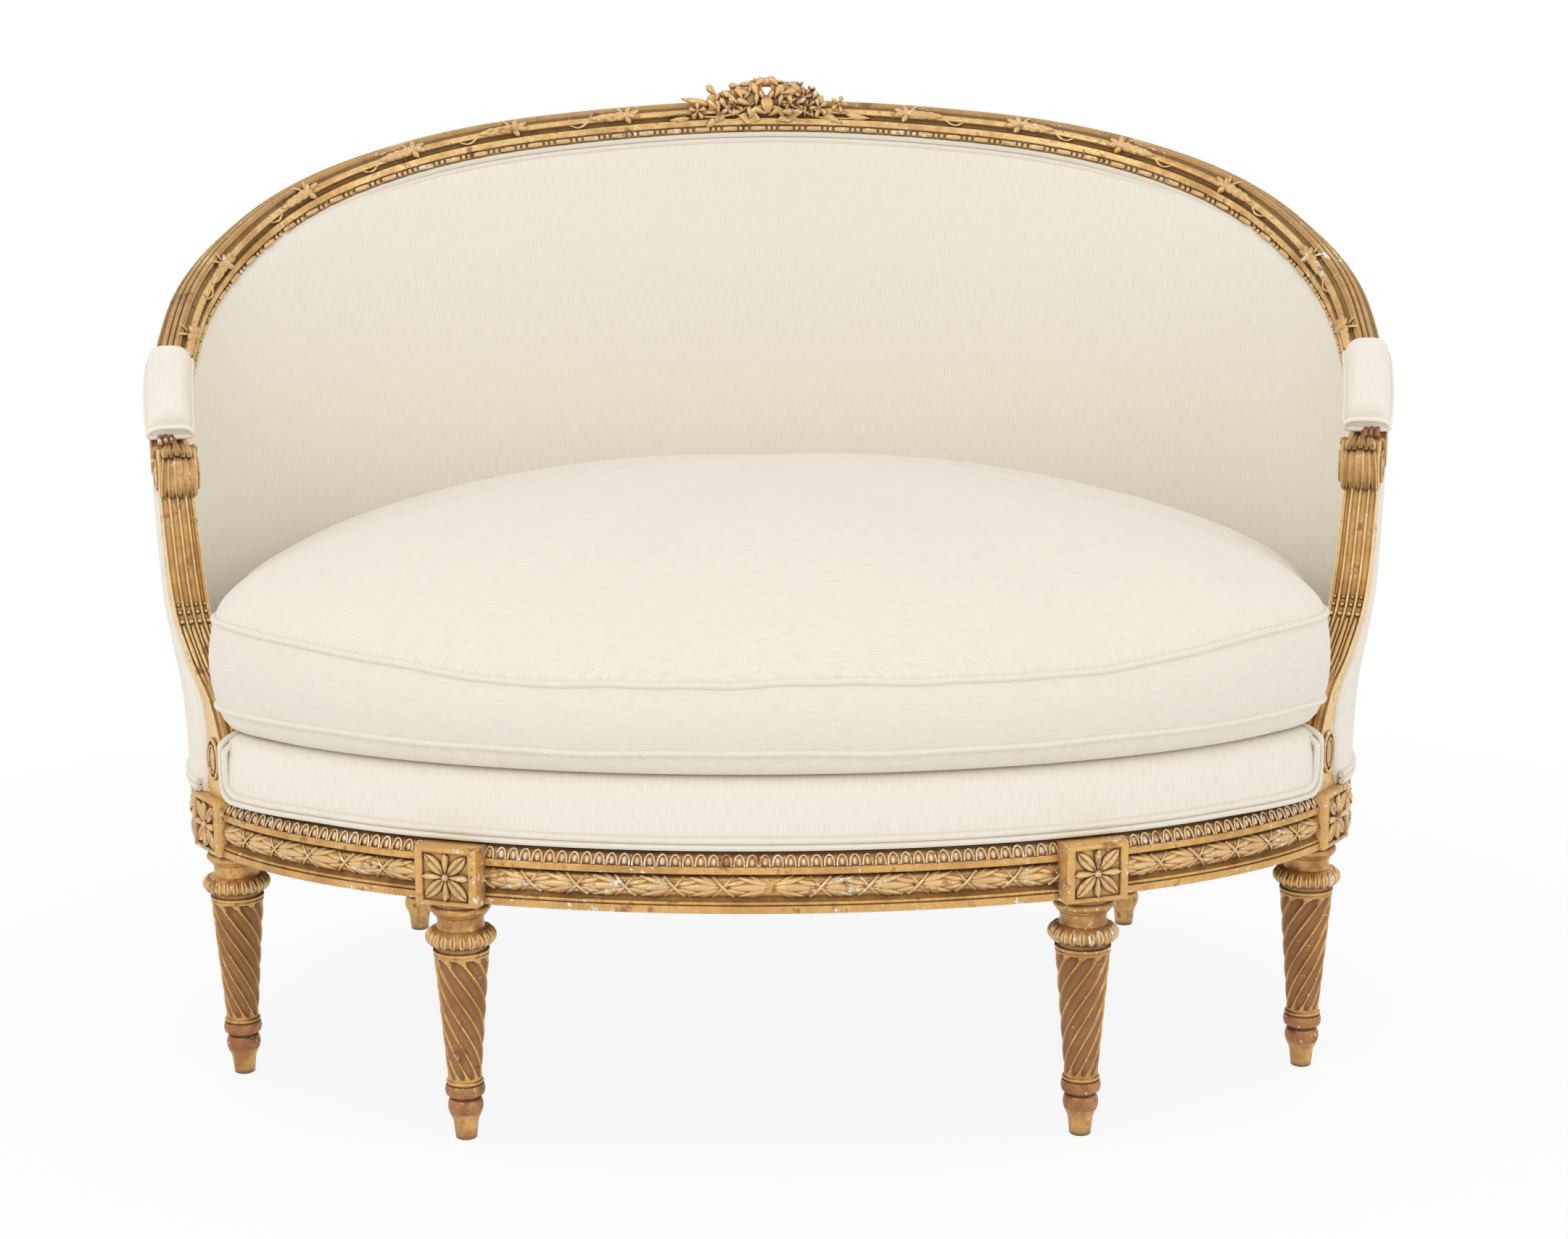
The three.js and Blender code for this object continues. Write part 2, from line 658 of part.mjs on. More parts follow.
// The carved cresting: blooms, leaves and ribbon ends gathered over the middle of the crest.
function crestingSolid() {
  const face = planPoint(capPlan, 180).y - capWidth / 2 - cresting.thickness / 3;
  const base = crestHeight;
  const lump = (xShare, zShare, widthShare, heightShare) => {
    const body = new THREE.IcosahedronGeometry(1, 1);
    body.scale(cresting.spread * widthShare, cresting.thickness, cresting.height * heightShare);
    return body.translate(cresting.spread * xShare, face, base + cresting.height * zShare);
  };
  const rise = cresting.rise / cresting.height;
  const blooms = [
    lump(0, rise - 0.24, 0.09, 0.24), lump(0.11, rise - 0.3, 0.1, 0.26), lump(-0.11, rise - 0.3, 0.1, 0.26),
    lump(0.2, 0.08, 0.11, 0.26), lump(-0.2, 0.08, 0.11, 0.26), lump(0, -0.14, 0.13, 0.36),
    lump(0.36, -0.14, 0.14, 0.2), lump(-0.36, -0.14, 0.14, 0.2),
    lump(0.12, -0.4, 0.1, 0.24), lump(-0.12, -0.4, 0.1, 0.24),
  ];
  const saddle = sweep(
    rectangle(-capWidth - clearance, -capDepth - clearance, overrun / 2, clearance),
    topStations.slice(5, 14).map(capFrame),
  );
  return cut(join(...blooms), saddle);
}

// The upholstered back

const wallFoot = railTop + web.thickness + 2 * clearance;

// A point of the back at an angle and a share of the height, set in from its outside. By the
// arms the back leans as the arm supports do, and behind them it leans evenly.
function wallPoint(degrees, share, inset) {
  const turn = degrees > 180 ? 360 - degrees : degrees;
  const height = lerp(wallFoot, capHeight(turn), share);
  const supportShare = Math.min(1, (height - railTop) / (supportHeadHeight - railTop));
  const armLean = readTable(supportSweepShares, supportShare);
  const lean = lerp(armLean, share, smooth(turn, armWallAngle, plainWallAngle));
  const out = planOut(seatPlan, degrees).lerp(planOut(capPlan, degrees), lean).normalize();
  const point = planPoint(seatPlan, degrees).lerp(planPoint(capPlan, degrees), lean);
  point.addScaledVector(out, -inset);
  point.z = height;
  return point;
}

// A curved slab of the back between two angles. The insets are functions of the height share
// and of the angle.
function wallSolid(angles, shares, outerInset, innerInset) {
  const rings = angles.map((degrees) => [
    ...shares.map((share) => wallPoint(degrees, share, outerInset(share, degrees))),
    ...[...shares].reverse().map((share) => wallPoint(degrees, share, innerInset(share, degrees))),
  ]);
  const outline = [
    ...shares.map((share) => new THREE.Vector2(0, share)),
    ...[...shares].reverse().map((share) => new THREE.Vector2(-1, share)),
  ];
  return ringSolid(rings, outline, shares.length);
}

// An arm support's place and all that lies ahead of it, up past its head.
function aheadOfSupport() {
  const rings = [...supportRingShares, 1].map((share, k) => {
    const { centre, out, ahead, halfDepth } = supportSection(share);
    if (k === supportRingShares.length) centre.z += overrun;
    return rectangle(-2 * overrun, -halfDepth - clearance, 2 * overrun, 4 * overrun).map((p) => (
      centre.clone().addScaledVector(out, p.x).addScaledVector(ahead, p.y)));
  });
  return join(ringSolid(rings), scrollDrum(scroll.radius + clearance, 3 * scroll.width, 18));
}

// A cover of the back fitted in behind the arm supports.
function cutBehindSupports(body) {
  const tool = aheadOfSupport();
  return cut(body, tool, mirrored(tool));
}

// Everything from the underside of the crest upward, which trims what is tucked beneath it.
function cutUnderCap(body) {
  const under = -capDepth - clearance;
  const innerEdge = capFaceShares[capFaceShares.length - 1][0] * capWidth;
  const profile = [
    [-3 * capWidth, under], [innerEdge, under], [0, under], [overrun, under],
    [overrun, 2 * overrun], [-3 * capWidth, 2 * overrun],
  ].map(([x, y]) => new THREE.Vector2(x, y));
  const side = sweep(profile, [...armStations, ...crestStations.slice(1)].map(capFrame));
  const lap = crestStations[crestStations.length - 2];
  const top = sweep(profile, [lap, ...topStations, 360 - lap].map(capFrame));
  return cut(body, side, mirrored(side), top);
}

const wallAngles = spread(armWallAngle, 360 - armWallAngle, 24);

function insideBackSolid() {
  const inner = (share, degrees) => {
    const turn = degrees > 180 ? 360 - degrees : degrees;
    const crown = backCrown * smooth(turn, armWallAngle, 150) * Math.sin(Math.PI * share);
    return lerp(backThickness, backTopInset, share ** 2) + crown;
  };
  return cutBehindSupports(cutUnderCap(wallSolid(wallAngles, spread(0, 1, 4), () => innerPadFace, inner)));
}

function outsideBackSolid() {
  const face = () => outsideCover.inset;
  const rear = () => outsideCover.inset + outsideCover.thickness;
  return cutBehindSupports(cutUnderCap(wallSolid(wallAngles, spread(0, 1, 4), face, rear)));
}

function postSolid(degrees) {
  const half = THREE.MathUtils.radToDeg(post.width / 2 / seatPlan.halfWidth);
  const angles = spread(degrees - half, degrees + half, 2);
  const rear = () => post.inset + post.thickness;
  return cutUnderCap(wallSolid(angles, spread(0, 1, 4), () => post.inset, rear));
}

// The seat

// A closed ring of the seat plan at a height, set in by a function of the angle.
function seatRing(angles, inset, height) {
  return angles.map((degrees) => levelFrame(seatPlan, degrees, height, inset(degrees)).origin);
}

function evenAngles(count) {
  return Array.from({ length: count }, (_, k) => ((k + 1 / 2) / count - 1 / 2) * 360);
}

function flatOutline(ring) {
  return ring.map((p) => new THREE.Vector2(p.x, p.y));
}

// Angles that put two rings' corners where the deck's front ends at the arm supports.
const deckAngles = [
  ...spread(-deckEndAngle, deckEndAngle, 22), ...spread(deckEndAngle + 1, 359 - deckEndAngle, 24),
];

function inFront(degrees) {
  return Math.abs(degrees) <= deckEndAngle;
}

function deckSolid() {
  const top = deck.bottom + deck.height;
  const inset = (degrees) => (inFront(degrees) ? deck.frontInset : deckSideInset);
  const ring = (extra, height) => seatRing(deckAngles, (degrees) => inset(degrees) + extra, height);
  const rings = [
    ring(0, deck.bottom), ring(-1, deck.bottom + deck.height / 2), ring(0, top - deck.shoulder),
    ring(deck.shoulder / 3, top - deck.shoulder / 3), ring(deck.shoulder, top),
  ];
  return ringSolid(rings, flatOutline(rings[0]));
}

// Whether a point of the seat lies inside the plan by at least the inset given.
function insideSeat(x, y, inset) {
  const fromMiddle = y + depthMiddle - seatPlan.centre;
  const degrees = THREE.MathUtils.radToDeg(Math.atan2(x, -fromMiddle));
  const edge = planPoint(seatPlan, degrees);
  return Math.hypot(x, fromMiddle) + inset < Math.hypot(edge.x, edge.y + depthMiddle - seatPlan.centre);
}

// The space round the foot of the right arm support.
function supportFootTool() {
  const frame = levelFrame(seatPlan, outerLegAngle, railTop, support.footInset);
  const margin = 2 * clearance;
  return frameBox(frame, support.footDepth + 2 * margin, support.footWidth + 2 * margin, overrun,
    { run: -support.footAhead, out: 0 });
}

// Straps that run both ways, woven into one sheet with open squares between them.
function webbingSolid() {
  const inset = (degrees) => (inFront(degrees) ? web.inset : web.sideInset);
  const shape = new THREE.Shape(flatOutline(seatRing(deckAngles, inset, 0)));
  const sheet = new THREE.ExtrudeGeometry(shape, { depth: web.thickness, bevelEnabled: false });
  const squares = [];
  const spanX = 2 * (seatPlan.halfWidth - railDepth);
  const spanY = seatPlan.front + seatPlan.back - 2 * railDepth;
  const middleY = (seatPlan.back - seatPlan.front) / 2 + seatPlan.centre - depthMiddle;
  const halfX = (spanX / (web.across + 1) - web.strap) / 2;
  const halfY = (spanY / (web.along + 1) - web.strap) / 2;
  for (let i = 0; i <= web.across; i += 1) {
    for (let j = 0; j <= web.along; j += 1) {
      const x = ((i + 1 / 2) / (web.across + 1) - 1 / 2) * spanX;
      const y = ((j + 1 / 2) / (web.along + 1) - 1 / 2) * spanY + middleY;
      const corners = rectangle(x - halfX, y - halfY, x + halfX, y + halfY);
      if (!corners.every((p) => insideSeat(p.x, p.y, railDepth))) continue;
      squares.push(new THREE.BoxGeometry(2 * halfX, 2 * halfY, overrun).translate(x, y, 0));
    }
  }
  const woven = cut(sheet, ...squares).translate(0, 0, railTop + clearance);
  return cut(woven, supportFootTool(), mirrored(supportFootTool()));
}

function dustCoverSolid() {
  const shape = new THREE.Shape(flatOutline(seatRing(evenAngles(40), () => dust.inset, 0)));
  const body = new THREE.ExtrudeGeometry(shape, { depth: dust.thickness, bevelEnabled: false });
  body.translate(0, 0, railBottom - clearance - dust.thickness);
  const notches = legPlaces.map((place) => {
    const side = 2 * (block.half + clearance);
    return frameBox(blockFrame(place), side, side, 2 * block.height);
  });
  return cut(body, ...notches, ...notches.map(mirrored));
}

// The loose cushion: a boxed border under a high feather crown, its corners rounded.
function cushionInset(degrees) {
  const turn = degrees > 180 ? 360 - degrees : Math.abs(degrees);
  return backThickness * readTable(cushionInsetShares, turn);
}

// Angles that put a ring's corners where the cushion turns in at the arm supports.
const cushionAngles = [
  ...spread(-cushionCornerAngle, cushionCornerAngle, 20),
  ...spread(cushionCornerAngle + 2, 358 - cushionCornerAngle, 22),
];

function cushionSolid() {
  const foot = deck.bottom + deck.height + cushion.rest;
  const belly = foot + cushion.bellyDrop;
  const welt = belly + cushion.boxing;
  const inset = (extra) => (degrees) => cushionInset(degrees) + extra;
  const ring = (extra, height) => seatRing(cushionAngles, inset(extra), height);
  const edge = ring(cushion.drawIn, welt);
  const middle = edge.reduce((sum, p) => sum.addScaledVector(p, 1 / edge.length), new THREE.Vector3());
  const domeShares = [0.97, 0.9, 0.79, 0.63, 0.42, 0.2];
  const dome = domeShares.map((reach) => edge.map((p) => {
    const point = new THREE.Vector3().lerpVectors(middle, p, reach);
    point.z = welt + cushion.crown * (1 - reach ** 1.8) ** 0.6;
    return point;
  }));
  const body = ringSolid([
    ring(cushion.bellyInset + 3 * cushion.bulge, foot), ring(cushion.bellyInset / 2, foot + cushion.rest),
    ring(cushion.drawIn, belly), ring(-cushion.bulge, belly + cushion.boxing / 3),
    ring(-cushion.bulge, belly + 2 * cushion.boxing / 3), edge, ...dome,
  ]);
  const tool = supportBody(2 * clearance);
  return cut(body, tool, mirrored(tool));
}

// The assembly

const sofa = new THREE.Group();

function add(name, geometry, finish) {
  const mesh = new THREE.Mesh(geometry, new THREE.MeshStandardMaterial(finish));
  mesh.name = name;
  sofa.add(mesh);
}

// A right-hand piece and its mirrored twin.
function addPair(name, geometry, finish) {
  add(`${name}_right`, geometry, finish);
  add(`${name}_left`, mirrored(geometry), finish);
}

for (const place of legPlaces) {
  addPair(`leg_${place.name}`, legSolid(place), giltwood);
  addPair(`corner_block_${place.name}`, cornerBlockSolid(place), beech);
}
for (const span of railSpans) {
  if (span.paired) addPair(`seat_rail_${span.name}`, railSolid(span), giltwood);
  else add(`seat_rail_${span.name}`, railSolid(span), giltwood);
}
add('seat_stretcher', stretcherSolid(), beech);
add('seat_webbing', webbingSolid(), jute);
add('dust_cover', dustCoverSolid(), cambric);
add('seat_deck', deckSolid(), linen);
add('loose_cushion', cushionSolid(), linen);
add('crest_rail_centre', crestTopSolid(), giltwood);
add('crest_cresting', crestingSolid(), giltwood);
addPair('crest_rail', crestSideSolid(), giltwood);
addPair('crest_dowel', dowelSolid(crestJointAngle), beech);
addPair('arm_dowel', dowelSolid(armJointAngle), beech);
addPair('arm_rail', armSolid(), giltwood);
addPair('arm_support', supportSolid(), giltwood);
addPair('arm_pad', padSolid(), linen);
addPair('side_post', postSolid(sidePostAngle), beech);
addPair('back_post', postSolid(backPostAngle), beech);
add('inside_back', insideBackSolid(), linen);
add('outside_back', outsideBackSolid(), linen);

export default sofa;
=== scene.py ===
"""A giltwood settee of basket form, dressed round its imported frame: carved and gilded wood on
six spiral-fluted legs, cream linen upholstery and a loose feather cushion."""

import json
import logging
import math
from collections.abc import Callable, Sequence
from dataclasses import dataclass
from enum import Enum

import bmesh
import bpy
import numpy as np
from mathutils import Matrix, Vector

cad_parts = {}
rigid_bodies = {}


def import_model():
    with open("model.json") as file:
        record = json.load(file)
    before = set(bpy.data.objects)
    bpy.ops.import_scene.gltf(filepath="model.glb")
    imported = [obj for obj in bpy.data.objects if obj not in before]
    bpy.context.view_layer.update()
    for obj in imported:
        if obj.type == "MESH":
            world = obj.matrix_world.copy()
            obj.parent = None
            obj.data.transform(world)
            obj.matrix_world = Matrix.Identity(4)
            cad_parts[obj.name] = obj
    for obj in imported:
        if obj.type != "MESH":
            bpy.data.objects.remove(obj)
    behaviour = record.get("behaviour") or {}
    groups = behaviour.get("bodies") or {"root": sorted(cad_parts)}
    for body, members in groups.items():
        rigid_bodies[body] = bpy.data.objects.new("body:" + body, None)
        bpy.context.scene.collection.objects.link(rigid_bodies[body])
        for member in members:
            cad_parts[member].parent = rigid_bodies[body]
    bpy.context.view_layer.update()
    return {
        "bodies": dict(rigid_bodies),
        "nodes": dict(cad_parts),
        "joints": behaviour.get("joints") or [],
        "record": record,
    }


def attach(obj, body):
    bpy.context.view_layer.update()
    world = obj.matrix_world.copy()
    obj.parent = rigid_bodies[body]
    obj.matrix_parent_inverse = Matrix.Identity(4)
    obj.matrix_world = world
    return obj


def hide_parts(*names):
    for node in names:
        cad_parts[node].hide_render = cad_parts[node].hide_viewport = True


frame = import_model()

log = logging.getLogger("settee")

Array = np.ndarray
Material = bpy.types.Material
Socket = bpy.types.NodeSocket
MM = 0.001
TAU = 2 * math.pi


class Side(Enum):
    """The two hands of a mirrored piece. The right one lies on +X."""

    RIGHT = "right"
    LEFT = "left"


class Grain(Enum):
    """Which way the slubs of the linen run on a piece, as its own coordinate."""

    UPRIGHT = "upright"
    LEVEL = "level"


class Body(Enum):
    """The two bodies of the frame."""

    FRAME = "frame"
    CUSHION = "cushion"


# Numbers and curves


def tone(red: int, green: int, blue: int) -> tuple[float, float, float, float]:
    """Turns a colour of 0 to 255 a channel into the linear one that a shader takes.

    Args:
        red: the red channel.
        green: the green channel.
        blue: the blue channel.

    Returns:
        The linear colour, opaque.
    """
    def linear(value: int) -> float:
        """One channel without its curve."""
        share = value / 255
        return share / 12.92 if share <= 0.04045 else ((share + 0.055) / 1.055) ** 2.4
    return (linear(red), linear(green), linear(blue), 1.0)


def smooth(low: float, high: float, at: Array | float) -> Array:
    """Runs from 0 at low to 1 at high with a soft start and end."""
    share = np.clip((np.asarray(at, float) - low) / (high - low), 0, 1)
    return share * share * (3 - 2 * share)


def lerp(low: Array | float, high: Array | float, share: Array | float) -> Array | float:
    """Goes from low to high as the share goes from 0 to 1."""
    return low + (high - low) * share


def read_table(table: Sequence[tuple[float, float]], at: Array | float) -> Array:
    """Reads a table of pairs with a smooth curve between its rows.

    Args:
        table: rows of a place and a value, the places rising.
        at: the places to read.

    Returns:
        The values there, held at the ends of the table.
    """
    xs, ys = np.array(table, float).T
    slopes = np.empty_like(ys)
    slopes[1:-1] = (ys[2:] - ys[:-2]) / (xs[2:] - xs[:-2])
    slopes[0] = (ys[1] - ys[0]) / (xs[1] - xs[0])
    slopes[-1] = (ys[-1] - ys[-2]) / (xs[-1] - xs[-2])
    at = np.clip(np.asarray(at, float), xs[0], xs[-1])
    k = np.clip(np.searchsorted(xs, at, side="right") - 1, 0, len(xs) - 2)
    span = xs[k + 1] - xs[k]
    t = (at - xs[k]) / span
    t2, t3 = t * t, t * t * t
    return ((2 * t3 - 3 * t2 + 1) * ys[k] + (t3 - 2 * t2 + t) * span * slopes[k]
            + (3 * t2 - 2 * t3) * ys[k + 1] + (t3 - t2) * span * slopes[k + 1])


def unit(vectors: Array) -> Array:
    """Scales vectors to length 1."""
    return vectors / np.linalg.norm(vectors, axis=-1, keepdims=True)


def upwards(out: Array) -> Array:
    """The upward direction beside each outward one."""
    return np.broadcast_to([0.0, 0.0, 1.0], out.shape)


def fold(degrees: Array | float) -> Array:
    """Folds an angle round the plan onto the right half, 0 at the front and 180 at the back."""
    return np.abs((np.asarray(degrees, float) + 180) % 360 - 180)


# Plans and tracks


@dataclass
class Track:
    """Places along a path, each with an outward and an upward direction."""

    origin: Array
    out: Array
    up: Array

    @property
    def along(self) -> Array:
        """The direction that makes a right-handed set with outward and upward."""
        return np.cross(self.out, self.up)

    def at(self, x: Array | float, y: Array | float, z: Array | float = 0.0) -> Array:
        """Points set off outward by x, upward by y and along by z at each place."""
        x, y, z = (np.asarray(v, float)[..., None] for v in (x, y, z))
        return self.origin + self.out * x + self.up * y + self.along * z

    def shifted(self, x: float, y: float) -> "Track":
        """The same track set off outward and upward."""
        return Track(self.at(x, y), self.out, self.up)

    def length(self) -> Array:
        """The way travelled up to each place."""
        steps = np.linalg.norm(np.diff(self.origin, axis=0), axis=1)
        return np.concatenate([[0.0], np.cumsum(steps)])


@dataclass(frozen=True)
class Plan:
    """Two half ovals that meet at the widest line, seen from above."""

    half_width: float
    front: float
    back: float
    centre: float
    front_power: float
    back_power: float
    middle: float = 0.4225

    def point(self, degrees: Array | float) -> Array:
        """The point of the plan at an angle, 0 at the front and 90 at the right end.

        Args:
            degrees: the angle, or many.

        Returns:
            The point, or one for each angle.
        """
        turn = np.radians(np.asarray(degrees, float))
        side, ahead = np.sin(turn), np.cos(turn)
        reach = np.where(ahead > 0, self.front, self.back)
        power = np.where(ahead > 0, self.front_power, self.back_power)
        total = (np.abs(side) / self.half_width) ** power + (np.abs(ahead) / reach) ** power
        radius = total ** (-1 / power)
        return np.stack([radius * side, self.centre - radius * ahead - self.middle, 0 * side], -1)

    def outward(self, degrees: Array | float) -> Array:
        """The level outward direction of the plan at an angle.

        Args:
            degrees: the angle, or many.

        Returns:
            The direction, or one for each angle.
        """
        step = 0.2
        along = unit(self.point(np.asarray(degrees) + step) - self.point(np.asarray(degrees) - step))
        return np.stack([along[..., 1], -along[..., 0], 0 * along[..., 0]], -1)

    def level(self, degrees: Array, height: Array | float, inset: Array | float = 0.0) -> Track:
        """A level track round the plan at a height, set in by an inset.

        Args:
            degrees: the angles along it.
            height: its height over the floor.
            inset: how far it lies inside the plan.

        Returns:
            The track.
        """
        out = self.outward(degrees)
        origin = self.point(degrees) - out * np.asarray(inset, float)[..., None]
        origin[..., 2] = height
        return Track(origin, out, upwards(out))


SEAT = Plan(0.598, 0.358, 0.455, 0.358, 2.0, 3.0)
CAP = Plan(0.638, 0.597, 0.375, 0.470, 2.0, 2.5)

RAIL_BOTTOM = 235.5 * MM
RAIL_HEIGHT = 55 * MM
RAIL_TOP = RAIL_BOTTOM + RAIL_HEIGHT
ARM_FRONT_HEIGHT = 630 * MM
CREST_HEIGHT = 961.5 * MM
ARM_FRONT, ARM_JOINT, CREST_JOINT = 76.0, 101.0, 126.0
INNER_LEG, OUTER_LEG, BACK_LEG = 43.5, 77.0, 132.4
LEG_INSETS = {INNER_LEG: 14 * MM, OUTER_LEG: 27 * MM, BACK_LEG: 22 * MM}

CAP_RISE = [
    (76, 0), (80, 0.085), (85, 0.19), (90, 0.296), (95, 0.398), (100, 0.487), (106, 0.592),
    (112, 0.694), (118, 0.777), (125, 0.849), (132, 0.901), (140, 0.939), (150, 0.967),
    (160, 0.985), (170, 0.996), (180, 1),
]
SUPPORT_SWEEP = [(0, 0), (0.15, 0), (0.33, 0.2), (0.44, 0.5), (0.61, 0.81), (1, 1)]


def cap_height(degrees: Array | float) -> Array:
    """The height of the arm and crest rail's top round the plan."""
    return ARM_FRONT_HEIGHT + (CREST_HEIGHT - ARM_FRONT_HEIGHT) * read_table(CAP_RISE, fold(degrees))


def cap_track(degrees: Array | float) -> Track:
    """The track of the arm and crest rail, square to its rising line.

    Args:
        degrees: the angles along the rail.

    Returns:
        The track.
    """
    degrees = np.asarray(degrees, float)

    def point(at: Array) -> Array:
        """The rail's line.

        Args:
            at: the angles.

        Returns:
            The points.
        """
        place = CAP.point(at)
        place[..., 2] = cap_height(at)
        return place

    step = 0.4
    along = unit(point(degrees + step) - point(degrees - step))
    out = CAP.outward(degrees)
    up = unit(np.cross(out, along))
    up = np.where(up[..., 2:] < 0, -up, up)
    return Track(point(degrees), out, up)


def evenly(track_of: Callable[[Array], Track], start: float, stop: float, pitch: float) -> Array:
    """Angles of even steps along a track.

    Args:
        track_of: gives the track at some angles.
        start: the angle where the row starts.
        stop: the angle where it ends.
        pitch: the wished step in metres, adjusted to fill the row.

    Returns:
        The angle of the middle of each step.
    """
    angles = np.linspace(start, stop, 400)
    way = track_of(angles).length()
    count = max(1, round(way[-1] / pitch))
    return np.interp((np.arange(count) + 0.5) / count * way[-1], way, angles)


# Shapes


class Shape:
    """Points and faces gathered for one piece, with the cloth's coordinates at each corner."""

    def __init__(self) -> None:
        """Starts empty."""
        self.points: list[Array] = []
        self.faces: list[list[int]] = []
        self.corners: list[tuple[float, float]] = []
        self.count = 0

    def add(self, points: Array, faces: Array, corners: Array | None = None) -> "Shape":
        """Adds points, faces of equal size and their corners' cloth coordinates.

        Args:
            points: the new points.
            faces: indices into them.
            corners: the cloth coordinates of each face's corners.

        Returns:
            This shape.
        """
        self.faces += (np.asarray(faces) + self.count).tolist()
        if corners is None:
            corners = np.zeros((len(faces), len(faces[0]), 2))
        self.corners += corners.reshape(-1, 2).tolist()
        self.points.append(np.asarray(points, float).reshape(-1, 3))
        self.count += len(self.points[-1])
        return self

    def grid(self, rows: Array, around: bool = False, caps: bool = False,
             cloth: Array | None = None) -> "Shape":
        """Adds a sheet of quads.

        Args:
            rows: points of shape (rows, columns, 3).
            around: whether the last column joins the first.
            caps: whether the first and last rows are closed by a fan.
            cloth: coordinates of shape (rows, columns, 2), with one more column when around.

        Returns:
            The shape itself.
        """
        height, width = rows.shape[:2]
        r, k = np.meshgrid(np.arange(height - 1), np.arange(width if around else width - 1), indexing="ij")
        ahead = (k + 1) % width
        quads = np.stack([r * width + k, r * width + ahead, (r + 1) * width + ahead, (r + 1) * width + k], -1)
        corners = None
        if cloth is not None:
            corners = np.stack([cloth[r, k], cloth[r, k + 1], cloth[r + 1, k + 1], cloth[r + 1, k]], -2)
        base = self.count
        self.add(rows, quads.reshape(-1, 4), corners)
        if caps:
            for row, start in ((rows[0], base), (rows[-1], base + (height - 1) * width)):
                hub = self.count
                self.points.append(row.mean(axis=0)[None])
                self.count += 1
                ring = np.arange(width)
                fan = np.stack([np.full(width, hub), start + ring, start + (ring + 1) % width], -1)
                self.faces += fan.tolist()
                self.corners += [(0.0, 0.0)] * (3 * width)
        return self

    def join(self, other: "Shape") -> "Shape":
        """Adds all of another shape.

        Args:
            other: the shape to add.

        Returns:
            This shape.
        """
        self.faces += [[v + self.count for v in face] for face in other.faces]
        self.corners += other.corners
        self.points += other.points
        self.count += other.count
        return self

    def moved(self, change: Callable[[Array], Array]) -> "Shape":
        """A copy with all its points changed by a function.

        Args:
            change: gives the new points for the old ones.

        Returns:
            The copy.
        """
        twin = Shape()
        twin.points = [change(np.concatenate(self.points))]
        twin.faces = list(self.faces)
        twin.corners = list(self.corners)
        twin.count = self.count
        return twin

    def mirrored(self) -> "Shape":
        """The other-hand twin."""
        return self.moved(lambda p: p * np.array([-1.0, 1.0, 1.0]))

    def on(self, side: Side) -> "Shape":
        """The shape itself on the right, its twin on the left."""
        return self if side is Side.RIGHT else self.mirrored()

    @staticmethod
    def from_mesh(mesh: bpy.types.Mesh) -> "Shape":
        """Reads a plain mesh back into a shape.

        Args:
            mesh: the mesh.

        Returns:
            The shape.
        """
        shape = Shape()
        points = np.empty(len(mesh.vertices) * 3)
        mesh.vertices.foreach_get("co", points)
        shape.points = [points.reshape(-1, 3)]
        shape.count = len(mesh.vertices)
        shape.faces = [list(face.vertices) for face in mesh.polygons]
        shape.corners = [(0.0, 0.0)] * sum(len(face) for face in shape.faces)
        return shape

    def mesh(self, name: str, crease: float = 40.0) -> bpy.types.Mesh:
        """Makes the mesh, its doubles merged, its faces out and its hard edges marked.

        Args:
            name: the mesh's name.
            crease: the angle, in degrees, from which an edge is hard.

        Returns:
            The mesh.
        """
        mesh = bpy.data.meshes.new(name)
        mesh.from_pydata(np.concatenate(self.points).tolist(), [], self.faces)
        layer = mesh.uv_layers.new(name="cloth")
        layer.data.foreach_set("uv", np.asarray(self.corners, np.float32).ravel())
        work = bmesh.new()
        work.from_mesh(mesh)
        bmesh.ops.remove_doubles(work, verts=work.verts, dist=1e-6)
        bmesh.ops.recalc_face_normals(work, faces=work.faces)
        work.to_mesh(mesh)
        work.free()
        mesh.polygons.foreach_set("use_smooth", [True] * len(mesh.polygons))
        mesh.set_sharp_from_angle(angle=math.radians(crease))
        mesh.update()
        return mesh


def tube(path: Array, radius: Array | float, sides: int = 8, closed: bool = False,
         flat: float = 1.0, up: Array | None = None) -> Shape:
    """A round or flattened cord along a path.

    Args:
        path: points of shape (count, 3).
        radius: one radius, or one for each point.
        sides: how many sides the section has.
        closed: whether the path runs back into its start.
        flat: how thick the section is next to its width.
        up: a direction that the section's thickness keeps near to.

    Returns:
        The shape, capped where it is open.
    """
    count = len(path)
    if closed:
        run = unit(np.roll(path, -1, axis=0) - np.roll(path, 1, axis=0))
    else:
        run = unit(np.gradient(path, axis=0))
    guide = np.broadcast_to([0.0, 0.0, 1.0] if up is None else up, run.shape)
    side = unit(np.cross(run, guide))
    lift = np.cross(side, run)
    turn = np.arange(sides) / sides * TAU
    reach = np.broadcast_to(np.asarray(radius, float), (count,))[:, None, None]
    rings = (path[:, None] + reach * np.cos(turn)[None, :, None] * side[:, None]
             + reach * flat * np.sin(turn)[None, :, None] * lift[:, None])
    if closed:
        rings = np.concatenate([rings, rings[:1]])
    return Shape().grid(rings, around=True, caps=not closed)


